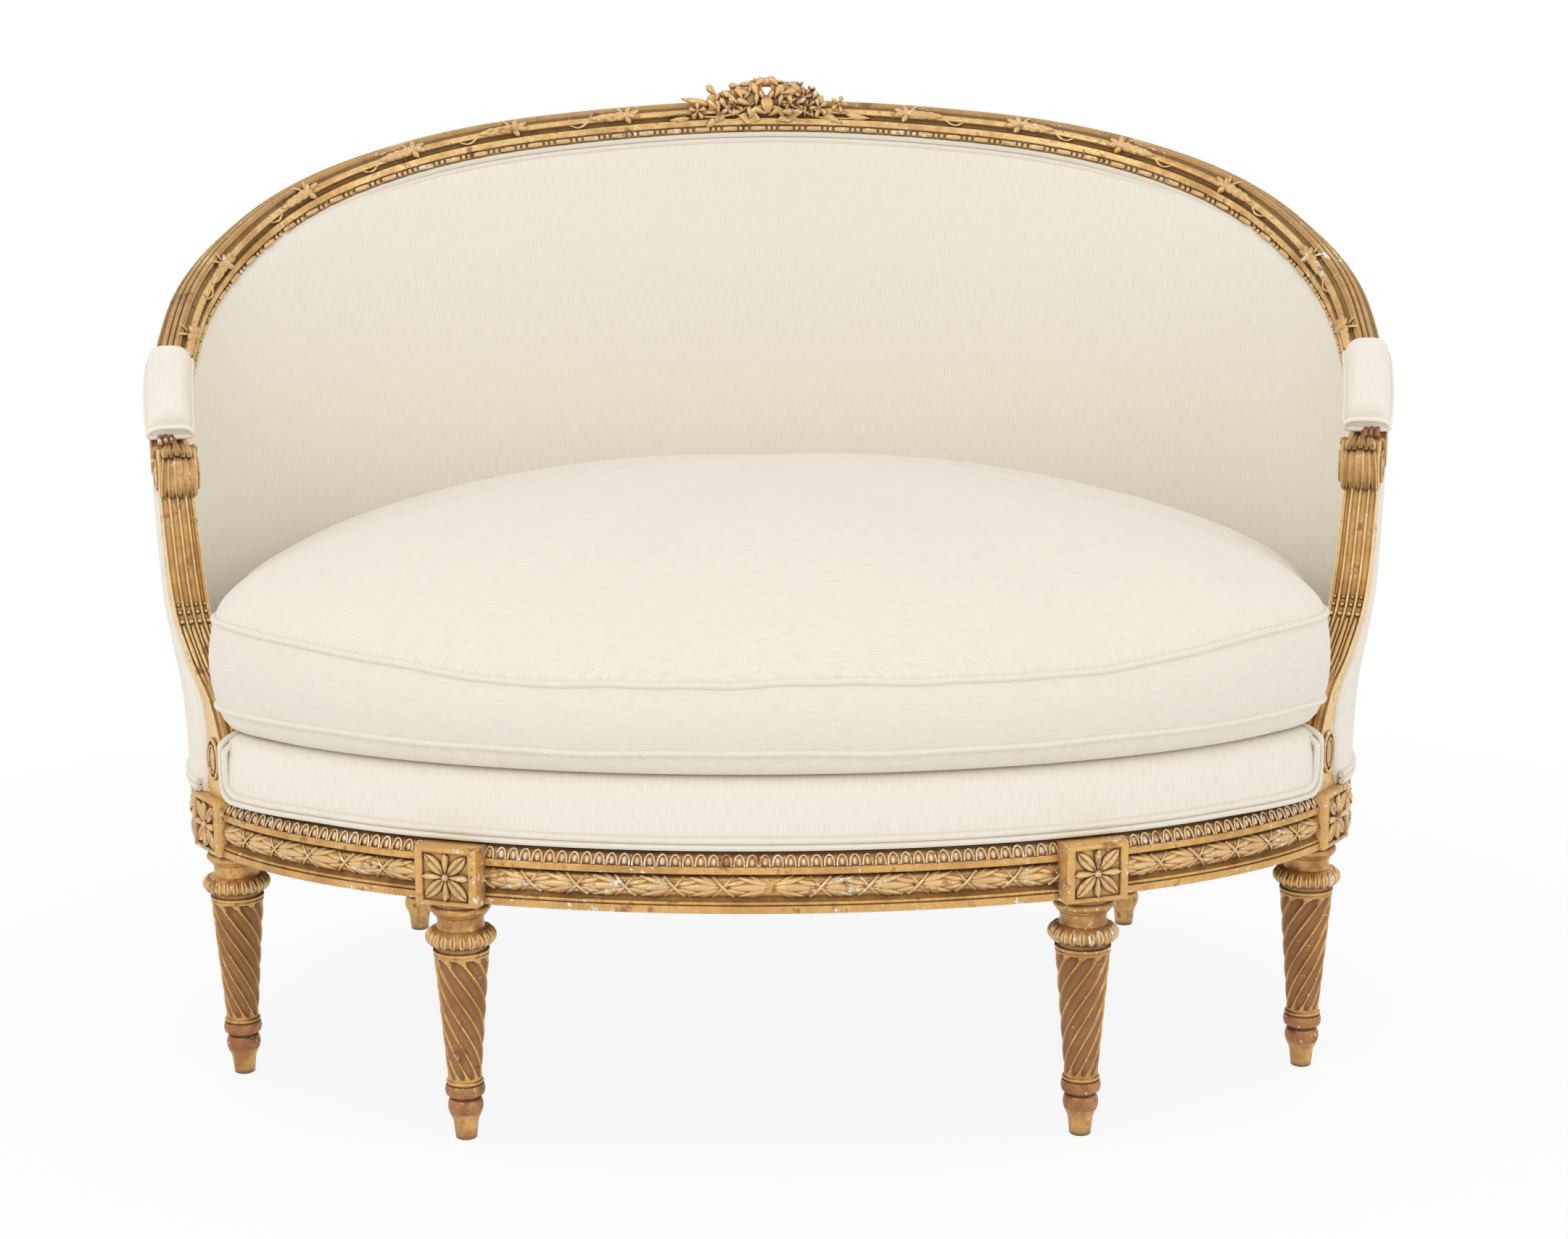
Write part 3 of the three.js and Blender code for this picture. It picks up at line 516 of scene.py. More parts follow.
def sweep(profile: Array, track: Track, worn: Array | None = None) -> Shape:
    """A closed profile, outward and upward, carried along a track, with how far each of its lines is dulled
    by rubbing and by painted shade.

    Args:
        profile: the section's points, outward and upward.
        track: where the section stands and how it turns.
        worn: how far each of its lines is dulled, 0 to 1, by real rubbing and by painted shade.

    Returns:
        The swept shape.
    """
    rings = (track.origin[:, None] + profile[None, :, 0, None] * track.out[:, None]
             + profile[None, :, 1, None] * track.up[:, None])
    cloth = None
    if worn is not None:
        share = np.broadcast_to(np.append(worn, worn[0]), (len(rings), len(worn) + 1))
        cloth = np.stack([share, 0 * share], -1)
    return Shape().grid(rings, around=True, caps=True, cloth=cloth)


def lathe(profile: Sequence[tuple[float, float]], sides: int) -> Shape:
    """Turns an outline of radius and height round the upright axis.

    Args:
        profile: the outline's radii and heights.
        sides: how many faces go round it.

    Returns:
        The turned shape.
    """
    turn = np.arange(sides) / sides * TAU
    radius, height = np.array(profile, float).T
    rings = np.stack([radius[:, None] * np.cos(turn), radius[:, None] * np.sin(turn),
                      height[:, None] + 0 * turn], -1)
    return Shape().grid(rings, around=True, caps=True)


def dome(length: float, width: float, height: float, rows: int = 4, columns: int = 8,
         point: float = 1.0) -> Shape:
    """A leaf or bead standing on the level plane: long in x, wide in y, domed in z.

    Args:
        length: from the tip to the root.
        width: across the middle.
        height: of the crown.
        rows: steps from end to end.
        columns: steps across.
        point: above 1 the ends are sharper.

    Returns:
        The closed shape, with its middle at the origin.
    """
    t = np.linspace(0, math.pi, rows + 1)
    turn = np.linspace(0, TAU, columns, endpoint=False)
    half = np.sin(t) ** point
    x = -np.cos(t)[:, None] * length / 2 + 0 * turn
    y = half[:, None] * np.cos(turn) * width / 2
    z = half[:, None] * np.sin(turn) * height
    z = np.where(z < 0, z * 0.3, z)
    return Shape().grid(np.stack([x, y, z], -1), around=True)


# Finishes


class Graph:
    """A node tree, built one node at a time."""

    def __init__(self, owner: str | bpy.types.ID) -> None:
        """Starts an empty tree.

        Args:
            owner: the name of a new material, or the world or the tree to fill.
        """
        self.owner = bpy.data.materials.new(owner) if isinstance(owner, str) else owner
        if isinstance(self.owner, bpy.types.NodeTree):
            self.tree = self.owner
        else:
            self.owner.use_nodes = True
            self.tree = self.owner.node_tree
        self.tree.nodes.clear()

    def add(self, kind: str, inputs: dict[str | int, object] | None = None,
            **settings: object) -> bpy.types.Node:
        """Adds a node, sets its properties and fills or links its inputs.

        Args:
            kind: the node's type name.
            inputs: a value or an output socket for each input, by name or index.
            settings: the node's own properties.

        Returns:
            The node.
        """
        node = self.tree.nodes.new(kind)
        for key, value in settings.items():
            setattr(node, key, value)
        for key, value in (inputs or {}).items():
            if isinstance(value, Socket):
                self.tree.links.new(value, node.inputs[key])
            else:
                node.inputs[key].default_value = value
        return node

    def math(self, operation: str, *values: object) -> Socket:
        """A sum, product or other operation on numbers."""
        return self.add("ShaderNodeMath", dict(enumerate(values)), operation=operation).outputs[0]

    def mix(self, share: object, low: object, high: object) -> Socket:
        """A blend of two colours."""
        return self.add("ShaderNodeMix", {0: share, 6: low, 7: high}, data_type="RGBA").outputs[2]

    def ramp(self, value: object, low: float, high: float, start: float = 0.0,
             stop: float = 1.0) -> Socket:
        """A soft step from start to stop as the value goes from low to high."""
        inputs = {0: value, 1: low, 2: high, 3: start, 4: stop}
        return self.add("ShaderNodeMapRange", inputs, interpolation_type="SMOOTHSTEP").outputs[0]

    def noise(self, place: object, scale: float, detail: float = 3.0, rough: float = 0.5) -> Socket:
        """Cloudy noise of 0 to 1."""
        inputs = {"Vector": place, "Scale": scale, "Detail": detail, "Roughness": rough}
        return self.add("ShaderNodeTexNoise", inputs).outputs[0]

    def place(self, scale: tuple[float, float, float], cloth: bool = False) -> Socket:
        """Object coordinates, or the cloth's own, stretched by a scale.

        Args:
            scale: the stretch along each axis.
            cloth: whether the cloth's own coordinates are taken.

        Returns:
            The coordinates.
        """
        if cloth:
            source = self.add("ShaderNodeUVMap", uv_map="cloth").outputs[0]
        else:
            source = self.add("ShaderNodeTexCoord").outputs["Object"]
        return self.add("ShaderNodeMapping", {"Vector": source, "Scale": scale}).outputs[0]

    def bump(self, height: object, depth: float, normal: object = None) -> Socket:
        """Turns a height of 0 to 1 into a relief of a depth in metres.

        Args:
            height: the relief, 0 to 1.
            depth: how deep it is.
            normal: a relief under this one.

        Returns:
            The normal.
        """
        inputs = {"Height": height, "Distance": depth, "Strength": 1.0}
        if normal is not None:
            inputs["Normal"] = normal
        return self.add("ShaderNodeBump", inputs).outputs[0]

    def shade(self, **inputs: object) -> Material:
        """Ends the tree in one plain surface shader and returns the material.

        Args:
            inputs: the shader's inputs, by name.

        Returns:
            The material.
        """
        named = {key.replace("_", " ").title(): value for key, value in inputs.items()}
        shader = self.add("ShaderNodeBsdfPrincipled", named)
        self.add("ShaderNodeOutputMaterial", {"Surface": shader.outputs[0]})
        return self.owner


@dataclass(frozen=True)
class Gilding:
    """Old water gilding over red bole and white gesso. Its hollows are darkened to brown by painted shade
    that is partly real toning, and its edges are lightened by a painted highlight. Its cloth coordinate dulls
    it: real rubbing on the cap rail's outer face, painted shade in flutes and coves.
    """

    name: str = "giltwood"
    leaf: tuple[float, ...] = tone(230, 182, 110)
    dull: tuple[float, ...] = tone(166, 118, 68)
    # The brown of the hollows: part real toning, part painted shade.
    toning_and_shade: tuple[float, ...] = tone(84, 54, 28)
    bole: tuple[float, ...] = tone(142, 86, 56)
    # The dull brown of rubbed gold, also used as painted shade in flutes and coves.
    rubbed_and_shaded: tuple[float, ...] = tone(160, 112, 74)
    gesso: tuple[float, ...] = tone(240, 231, 212)
    bole_share: float = 0.4
    gesso_share: float = 0.6
    # How strongly the hollows take the painted shade and toning.
    toning_and_shade_share: float = 0.85
    edge_wear: float = 0.1
    # How far the painted shade in the hollows reaches.
    hollow: float = 9 * MM

    def build(self) -> Material:
        """Makes the material from noise, painted shade in the hollows and painted highlights on the edges.

        Returns:
            The material.
        """
        g = Graph(self.name)
        place = g.place((1, 1, 1))
        broad = g.noise(place, 16, 4, 0.62)
        fine = g.noise(place, 210, 4, 0.6)
        flake = g.noise(place, 60, 6, 0.7)
        edge = g.ramp(g.add("ShaderNodeNewGeometry").outputs["Pointiness"], 0.505, 0.6)
        # Painted shade: ambient occlusion finds the hollows and recesses. These are darkened towards the
        # toning brown and made less metallic. This is partly real toning.
        ao = g.add("ShaderNodeAmbientOcclusion", {"Distance": self.hollow}, samples=6).outputs["AO"]
        deep = g.ramp(g.math("ADD", ao, g.math("MULTIPLY", fine, 0.12)), 0.28, 1.02, 1.0, 0.0)
        tired = g.math("ADD", g.math("MULTIPLY", broad, 0.6), g.math("MULTIPLY", flake, 0.4))
        colour = g.mix(g.ramp(tired, 0.38, 0.6), self.dull, self.leaf)
        # The cloth coordinate's first number dulls the gold to the rubbed brown. This is real rubbing on the
        # cap rail's outer face and painted shade in the flute hollows and coves.
        flute = g.add("ShaderNodeSeparateXYZ", {0: g.place((1, 1, 1), True)}).outputs[0]
        rubbed_and_shaded = g.math("MULTIPLY", g.ramp(g.math("ADD", flute, g.math("MULTIPLY", broad, 0.5)), 0.35, 0.7),
                        0.8)
        colour = g.mix(rubbed_and_shaded, colour, self.rubbed_and_shaded)
        colour = g.mix(g.ramp(fine, 0.38, 0.7, 0.0, 0.4), colour, self.dull)
        # Painted highlight: the sharp edges that pointiness finds are lightened to the bright leaf colour.
        colour = g.mix(g.math("MULTIPLY", edge, 0.6), colour, self.leaf)
        worn = g.ramp(g.math("ADD", g.math("MULTIPLY", flake, 0.65), g.math("MULTIPLY", broad, 0.35)),
                      0.61 - 0.14 * self.bole_share, 0.68 - 0.12 * self.bole_share)
        colour = g.mix(g.math("MULTIPLY", worn, 0.8), colour, self.bole)
        # Painted shade in the hollows, partly real toning.
        colour = g.mix(g.math("MULTIPLY", deep, self.toning_and_shade_share), colour, self.toning_and_shade)
        chips = g.noise(place, 130, 5, 0.74)
        patch = g.noise(place, 11, 2, 0.5)
        chip = g.math("ADD", g.math("ADD", chips, g.math("MULTIPLY", edge, self.edge_wear)),
                      g.math("MULTIPLY", patch, 0.3))
        chip = g.ramp(chip, 0.865 - 0.08 * self.gesso_share, 0.885 - 0.08 * self.gesso_share)
        chip = g.math("MULTIPLY", chip, g.ramp(ao, 0.3, 0.7))
        colour = g.mix(chip, colour, self.gesso)
        bare = g.math("MAXIMUM", g.math("MULTIPLY", worn, 0.7), chip)
        bare = g.math("MAXIMUM", bare, g.math("MULTIPLY", rubbed_and_shaded, 0.8))
        metal = g.math("MULTIPLY", g.math("SUBTRACT", 1.0, bare), g.ramp(deep, 0.0, 1.0, 0.6, 0.08))
        rough = g.math("ADD", g.ramp(fine, 0.3, 0.7, 0.27, 0.42), g.math("MULTIPLY", bare, 0.3))
        relief = g.bump(fine, 0.25 * MM)
        relief = g.bump(g.math("SUBTRACT", 1.0, chip), 0.3 * MM, relief)
        return g.shade(base_color=colour, metallic=metal, roughness=rough, normal=relief)


@dataclass(frozen=True)
class Linen:
    """Slubby natural linen, its uneven threads running one way."""

    name: str
    grain: Grain
    ground: tuple[float, ...] = tone(235, 228, 213)
    pale: tuple[float, ...] = tone(242, 236, 224)
    dark: tuple[float, ...] = tone(222, 212, 196)
    thread: float = 0.8 * MM

    def build(self) -> Material:
        """Makes the material from long thin noise along and across the threads.

        Returns:
            The material.
        """
        g = Graph(self.name)
        upright = self.grain is Grain.UPRIGHT

        def threads(width: float, length: float, detail: float = 2.0) -> Socket:
            """Noise drawn out along the threads."""
            scale = (1 / width, 1 / length, 1) if upright else (1 / length, 1 / width, 1)
            return g.noise(g.place(scale, True), 1.0, detail, 0.5)

        slub = threads(0.8 * MM, 17 * MM, 3.0)
        cross = threads(12 * MM, 0.8 * MM)
        thick = threads(1.5 * MM, 30 * MM)
        blur = g.noise(g.place((1 / (70 * MM), 1 / (70 * MM), 1), True), 1.0, 2, 0.5)
        colour = g.mix(g.ramp(slub, 0.3, 0.7), self.dark, self.pale)
        colour = g.mix(0.55, colour, self.ground)
        colour = g.mix(g.ramp(thick, 0.58, 0.72, 0.0, 0.4), colour, self.pale)
        colour = g.mix(g.ramp(cross, 0.52, 0.8, 0.0, 0.3), colour, self.dark)
        colour = g.mix(g.ramp(blur, 0.3, 0.7, 0.0, 0.25), colour, self.ground)
        speck = g.noise(g.place((240, 240, 1), True), 1.0, 2, 0.5)
        colour = g.mix(g.ramp(speck, 0.755, 0.79, 0.0, 0.45), colour, tone(178, 150, 122))
        pitch = math.pi / self.thread
        split = g.add("ShaderNodeSeparateXYZ", {0: g.place((pitch, pitch, 1), True)})
        warp = g.math("ABSOLUTE", g.math("SINE", split.outputs[0]))
        weft = g.math("ABSOLUTE", g.math("SINE", split.outputs[1]))
        relief = g.bump(g.math("MULTIPLY", warp, weft), 0.1 * MM)
        relief = g.bump(g.math("ADD", slub, g.math("MULTIPLY", cross, 0.7)), 0.05 * MM, relief)
        return g.shade(base_color=colour, roughness=0.92, normal=relief, sheen_weight=0.1,
                       sheen_roughness=0.5)


@dataclass(frozen=True)
class Timber:
    """Plain sawn wood inside the frame."""

    name: str = "beech"
    light: tuple[float, ...] = tone(196, 160, 116)
    dark: tuple[float, ...] = tone(158, 120, 80)

    def build(self) -> Material:
        """Makes the material from stretched noise.

        Returns:
            The material.
        """
        g = Graph(self.name)
        grain = g.noise(g.place((40, 420, 420)), 1.0, 4, 0.6)
        ring = g.noise(g.place((4, 60, 60)), 1.0, 2)
        colour = g.mix(g.math("MULTIPLY", grain, ring), self.light, self.dark)
        return g.shade(base_color=colour, roughness=0.7, normal=g.bump(grain, 0.2 * MM))


@dataclass(frozen=True)
class CoarseCloth:
    """A plain coarse weave, such as webbing or the dust cover."""

    name: str
    colour: tuple[float, ...]
    shadow: tuple[float, ...]
    thread: float

    def build(self) -> Material:
        """Makes the material from crossed threads.

        Returns:
            The material.
        """
        g = Graph(self.name)
        pitch = math.pi / self.thread
        split = g.add("ShaderNodeSeparateXYZ", {0: g.place((pitch, pitch, pitch))})
        warp = g.math("ABSOLUTE", g.math("SINE", split.outputs[0]))
        weft = g.math("ABSOLUTE", g.math("SINE", split.outputs[1]))
        weave = g.math("MULTIPLY", warp, weft)
        fuzz = g.noise(g.place((300, 300, 300)), 1.0, 3)
        colour = g.mix(g.math("MULTIPLY", weave, fuzz), self.shadow, self.colour)
        return g.shade(base_color=colour, roughness=0.95, normal=g.bump(weave, 0.3 * MM))


class Finishes:
    """Every material of the settee, made once."""

    def __init__(self) -> None:
        """Makes them all."""
        self.gilt = Gilding().build()
        self.carved = Gilding(
            name="giltwood_carved", leaf=tone(238, 198, 138), dull=tone(190, 144, 92), bole_share=0.5,
            gesso_share=0.9, toning_and_shade_share=1.0, edge_wear=0.07, hollow=7.5 * MM).build()
        self.bright = Gilding(
            name="giltwood_bright", leaf=tone(250, 212, 144), dull=tone(196, 150, 90),
            rubbed_and_shaded=tone(136, 100, 58),
            bole_share=0.5, gesso_share=0.75, toning_and_shade_share=0.78, hollow=6.5 * MM).build()
        self.chalky = Gilding(
            name="giltwood_worn_to_the_gesso", leaf=tone(244, 208, 160), dull=tone(208, 162, 118),
            bole_share=0.6,
            gesso_share=0.85, toning_and_shade_share=0.85, hollow=5 * MM).build()
        self.bare = Gilding(
            name="giltwood_worn_to_the_bole", leaf=tone(206, 154, 96), dull=tone(156, 98, 64), bole_share=1.0,
            gesso_share=1.2).build()
        # Painted light: the same linen made paler than the level one, so that the upright faces, which the
        # lamps light less, come out as light as the level ones. The deck and the arm pads use it too.
        self.upright = Linen(
            "linen_upright", Grain.UPRIGHT, tone(239, 233, 219), tone(246, 241, 230),
            tone(227, 218, 203)).build()
        self.level = Linen("linen_level", Grain.LEVEL).build()
        self.beech = Timber().build()
        self.jute = CoarseCloth("jute", tone(178, 146, 100), tone(112, 86, 54), 2.4 * MM).build()
        self.cambric = CoarseCloth("cambric", tone(52, 50, 48), tone(24, 23, 22), 0.9 * MM).build()
        self.iron = Timber("tack_iron", tone(70, 66, 62), tone(44, 40, 38)).build()


# Pieces and repeats


class Slot(Enum):
    """The material slots of the record."""

    GILT = "giltwood"
    BEECH = "beech_frame"
    LINEN = "linen"
    JUTE = "jute_webbing"
    CLOTH = "dust_cloth"


def piece(name: str, shape: Shape, finish: Material,
          body: Body = Body.FRAME, stands_for: Sequence[str] = (), crease: float = 40.0) -> bpy.types.Object:
    """Makes a finished piece that rides on its body.

    Args:
        name: the piece's name.
        shape: its points and faces.
        finish: its material.
        body: the body that it rides on.
        stands_for: the nodes that it hides.
        crease: edges sharper than this angle in degrees stay hard.

    Returns:
        The object.
    """
    mesh = shape.mesh(name, crease)
    mesh.materials.append(finish)
    return dress(name, bpy.data.objects.new(name, mesh), body, stands_for)


def dress(name: str, obj: bpy.types.Object, body: Body = Body.FRAME,
          stands_for: Sequence[str] = ()) -> bpy.types.Object:
    """Puts an object into the scene and on its body.

    Args:
        name: the object's name.
        obj: the object.
        body: the body that it moves with.
        stands_for: the nodes that it replaces.

    Returns:
        The object.
    """
    if obj.name not in bpy.context.scene.collection.objects:
        bpy.context.scene.collection.objects.link(obj)
    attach(obj, body.value)
    if stands_for:
        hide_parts(*stands_for)
    log.info("%s: %d faces", name, len(obj.data.polygons))
    return obj


class Repeat:
    """A node tree that sets a carved motif on every point of a row and turns it with the row."""

    def __init__(self) -> None:
        """Builds the tree with its named inputs."""
        self.tree = bpy.data.node_groups.new("set_in_a_row", "GeometryNodeTree")
        face = self.tree.interface
        for name, kind in (("Row", "Geometry"), ("Motif", "Object"), ("Size", "Float"),
                           ("Unevenness", "Float"),
                           ("Seed", "Int"), ("Finish", "Material")):
            face.new_socket(name, in_out="INPUT", socket_type=f"NodeSocket{kind}")
        face.new_socket("Carving", in_out="OUTPUT", socket_type="NodeSocketGeometry")
        g = Graph(self.tree)
        given = g.add("NodeGroupInput").outputs
        upward, outward, size = (
            g.add("GeometryNodeInputNamedAttribute", {"Name": name}, data_type=kind).outputs[0]
            for name, kind in (("upward", "FLOAT_VECTOR"), ("outward", "FLOAT_VECTOR"), ("size", "FLOAT")))
        turn = g.add("FunctionNodeAxesToRotation", {"Primary Axis": upward, "Secondary Axis": outward},
                     primary_axis="Z", secondary_axis="Y").outputs[0]
        low = g.math("SUBTRACT", 1.0, given["Unevenness"])
        high = g.math("ADD", 1.0, given["Unevenness"])
        chance = g.add("FunctionNodeRandomValue", {2: low, 3: high, "Seed": given["Seed"]}, data_type="FLOAT")
        scale = g.math("MULTIPLY", g.math("MULTIPLY", chance.outputs[1], size), given["Size"])
        motif = g.add("GeometryNodeObjectInfo", {"Object": given["Motif"]}).outputs["Geometry"]
        copies = g.add("GeometryNodeInstanceOnPoints", {
            "Points": given["Row"], "Instance": motif, "Rotation": turn, "Scale": scale}).outputs[0]
        real = g.add("GeometryNodeRealizeInstances", {0: copies}).outputs[0]
        painted = g.add("GeometryNodeSetMaterial", {"Geometry": real, "Material": given["Finish"]}).outputs[0]
        g.add("NodeGroupOutput", {"Carving": painted})
        self.keys = {item.name: item.identifier for item in face.items_tree if item.in_out == "INPUT"}

    def along(self, track: Track, motif: Shape, finish: Material, sizes: Array | float = 1.0,
              unevenness: float = 0.0, seed: int = 1) -> Shape:
        """Sets a motif along a track and returns the carving as a plain shape.

        Args:
            track: where each motif stands and how it is turned.
            motif: the motif, its x along, y outward and z upward.
            finish: the material of the carving.
            sizes: one size for all, or one for each place.
            unevenness: how much the sizes vary by chance, as a share.
            seed: fixes the chance.

        Returns:
            The carving, its copies joined.
        """
        scene = bpy.context.scene.collection.objects
        motif_mesh = motif.mesh("motif")
        motif_object = bpy.data.objects.new("motif", motif_mesh)
        row_mesh = bpy.data.meshes.new("row")
        row_mesh.from_pydata(track.origin.tolist(), [], [])
        for name, values in (("upward", track.up), ("outward", track.out)):
            layer = row_mesh.attributes.new(name, "FLOAT_VECTOR", "POINT")
            layer.data.foreach_set("vector", np.ascontiguousarray(values, np.float32).ravel())
        layer = row_mesh.attributes.new("size", "FLOAT", "POINT")
        layer.data.foreach_set("value", np.broadcast_to(np.float32(sizes), (len(track.origin),)).copy())
        row = bpy.data.objects.new("row", row_mesh)
        scene.link(motif_object)
        scene.link(row)
        modifier = row.modifiers.new("set_in_a_row", "NODES")
        modifier.node_group = self.tree
        modifier[self.keys["Motif"]] = motif_object
        modifier[self.keys["Size"]] = 1.0
        modifier[self.keys["Unevenness"]] = unevenness
        modifier[self.keys["Seed"]] = seed
        modifier[self.keys["Finish"]] = finish
        graph = bpy.context.evaluated_depsgraph_get()
        result = bpy.data.meshes.new_from_object(row.evaluated_get(graph))
        shape = Shape.from_mesh(result)
        for obj, mesh in ((row, row_mesh), (motif_object, motif_mesh)):
            bpy.data.objects.remove(obj)
            bpy.data.meshes.remove(mesh)
        bpy.data.meshes.remove(result)
        return shape


# Carved motifs, each with x along its row, y outward and z upward


def on_face(shape: Shape) -> Shape:
    """Turns a dome that stands on the level plane so that it stands out of an upright face."""
    return shape.moved(lambda p: np.stack([p[:, 0], p[:, 2], p[:, 1]], -1))


def leaf(length: float, width: float, height: float, rows: int = 6, bend: float = 0.0, ridges: int = 2,
         blunt: float = 0.0) -> Shape:
    """A carved leaf from its root at the origin along +x, with veins sunk between its ridges.

    Args:
        length: from root to tip.
        width: across its widest place.
        height: how far its ridges stand out.
        rows: steps along it.
        bend: how far the tip curls up or down, in metres.
        ridges: how many ridges run along it.
        blunt: 0 for a pointed tip, 1 for a round one.

    Returns:
        The closed shape.
    """
    t = np.linspace(0, 1, rows + 1)
    pointed = np.sin(math.pi * t ** 0.75) ** 0.8
    round_tip = t ** 0.7 * np.sqrt(1 - t ** 7)
    half = lerp(pointed, round_tip, blunt) * width / 2
    half[0], half[-1] = width * 0.07, width * 0.1 * blunt
    across = np.linspace(-1, 1, 4 * ridges + 1)
    lift = 0.4 + 0.6 * np.abs(np.sin(math.pi * ridges * (across + 1) / 2))
    lift[[0, -1]] = 0.1
    swell = np.sin(math.pi * np.clip(t * (0.92 - 0.3 * blunt) + 0.07, 0, 1)) ** 0.6
    x = np.broadcast_to((t * length)[:, None], (rows + 1, len(across)))
    y = half[:, None] * across
    curl = (bend * t ** 2)[:, None]
    top = np.stack([x, y, height * swell[:, None] * lift + curl], -1)
    under = np.stack([x, y * 0.92, np.broadcast_to(curl - height * 0.4, x.shape)], -1)
    return Shape().grid(np.concatenate([top, under[:, ::-1]], 1), around=True, caps=True)


def turned(shape: Shape, degrees: float, shift: Sequence[float] = (0.0, 0.0, 0.0)) -> Shape:
    """Turns a shape about z and then moves it.

    Args:
        shape: the shape.
        degrees: how far it turns.
        shift: how far it then moves.

    Returns:
        The moved shape.
    """
    turn = math.radians(degrees)
    matrix = np.array([[math.cos(turn), -math.sin(turn), 0], [math.sin(turn), math.cos(turn), 0], [0, 0, 1]])
    return shape.moved(lambda p: p @ matrix.T + np.asarray(shift))


def lambs_tongue(pitch: float, height: float) -> Shape:
    """One arch of the leaf moulding with its tongue, and the dart and bead beside it.

    Args:
        pitch: the room that it takes along the row.
        height: how tall it is.

    Returns:
        The motif.
    """
    steps = np.linspace(-0.12, math.pi + 0.12, 9)
    arch = np.stack([np.cos(steps) * pitch * 0.4, 1.3 * MM + 0 * steps,
                     (np.sin(steps) - 0.5) * height * 0.95], -1)
    shape = tube(arch, 0.95 * MM, 5, up=(0.0, 1.0, 0.0))
    tongue = on_face(turned(dome(height * 0.8, pitch * 0.46, 2.0 * MM, 3, 6), 90))
    shape.join(tongue.moved(lambda p: p + np.array([0, 0, -0.1 * height])))
    dart = on_face(turned(dome(height * 0.62, 1.5 * MM, 1.6 * MM, 3, 4), 90))
    shape.join(dart.moved(lambda p: p + np.array([pitch * 0.5, 0, 0.2 * height])))
    bead = on_face(dome(2.4 * MM, 2.2 * MM, 1.9 * MM, 2, 5))
    return shape.join(bead.moved(lambda p: p + np.array([pitch * 0.5, 0, -0.36 * height])))


def laurel_bunch(pitch: float, height: float) -> Shape:
    """A bunch of laurel leaves and the two ribbons that cross beside it.

    Args:
        pitch: the room that it takes along the row.
        height: how tall it is.

    Returns:
        The motif.
    """
    shape = Shape()
    for spread, reach, wide, lift, start, rise in (
            (0, 0.94, 0.54, 4.8, -0.48, 0), (15, 0.74, 0.46, 4.0, -0.46, 0.1),
            (-15, 0.74, 0.46, 4.0, -0.46, -0.1),
            (30, 0.44, 0.38, 3.2, -0.38, 0.14), (-30, 0.44, 0.38, 3.2, -0.38, -0.14),
            (-10, 0.5, 0.4, 3.6, 0.0, 0.3), (10, 0.5, 0.4, 3.6, 0.0, -0.3)):
        blade = turned(leaf(pitch * reach, height * wide, lift * MM, 6, ridges=1), spread,
                       (pitch * start, rise * height, 0))
        shape.join(on_face(blade))
    shape = shape.moved(lambda p: p - np.stack([0 * p[:, 0], 38 * p[:, 2] ** 2, 0 * p[:, 0]], -1))
    for slope in (-1, 1):
        t = np.linspace(-1, 1, 7)
        band = np.stack([pitch * (0.5 + 0.22 * t), 2.6 * MM + 0.5 * MM * slope - 4.6 * MM * t ** 2,
                         slope * t * height * 0.5], -1)
        shape.join(tube(band, 1.4 * MM, 4, flat=0.7, up=(0.0, 1.0, 0.0)))
    for rise in (-1, 1):
        berry = on_face(dome(3.0 * MM, 3.0 * MM, 2.6 * MM, 3, 6))
        shape.join(berry.moved(lambda p, r=rise: p + np.array([pitch * 0.5, -0.6 * MM, r * height * 0.27])))
    return shape


def bead_and_reel(pitch: float, radius: float) -> Shape:
    """Two beads and a reel, strung along x.

    Args:
        pitch: the room that it takes along the row.
        radius: the beads' radius.

    Returns:
        The motif.
    """
    def string(start: float, stop: float, outline: Sequence[tuple[float, float]]) -> Shape:
        """One bead or reel between two places."""
        turned_piece = lathe([(r * radius, lerp(start, stop, t)) for t, r in outline], 8)
        return turned_piece.moved(lambda p: np.stack([p[:, 2], p[:, 0], p[:, 1]], -1))
    round_bead = [(0.0, 0.25), (0.2, 0.82), (0.5, 1.0), (0.8, 0.82), (1.0, 0.25)]
    reel = [(0.0, 0.35), (0.06, 0.85), (0.3, 1.0), (0.7, 1.0), (0.94, 0.85), (1.0, 0.35)]
    half = pitch / 2
    return (string(-half, -half + 0.17 * pitch, round_bead)
            .join(string(-half + 0.2 * pitch, -half + 0.37 * pitch, round_bead))
            .join(string(-half + 0.41 * pitch, half - 0.03 * pitch, reel)))


# Legs


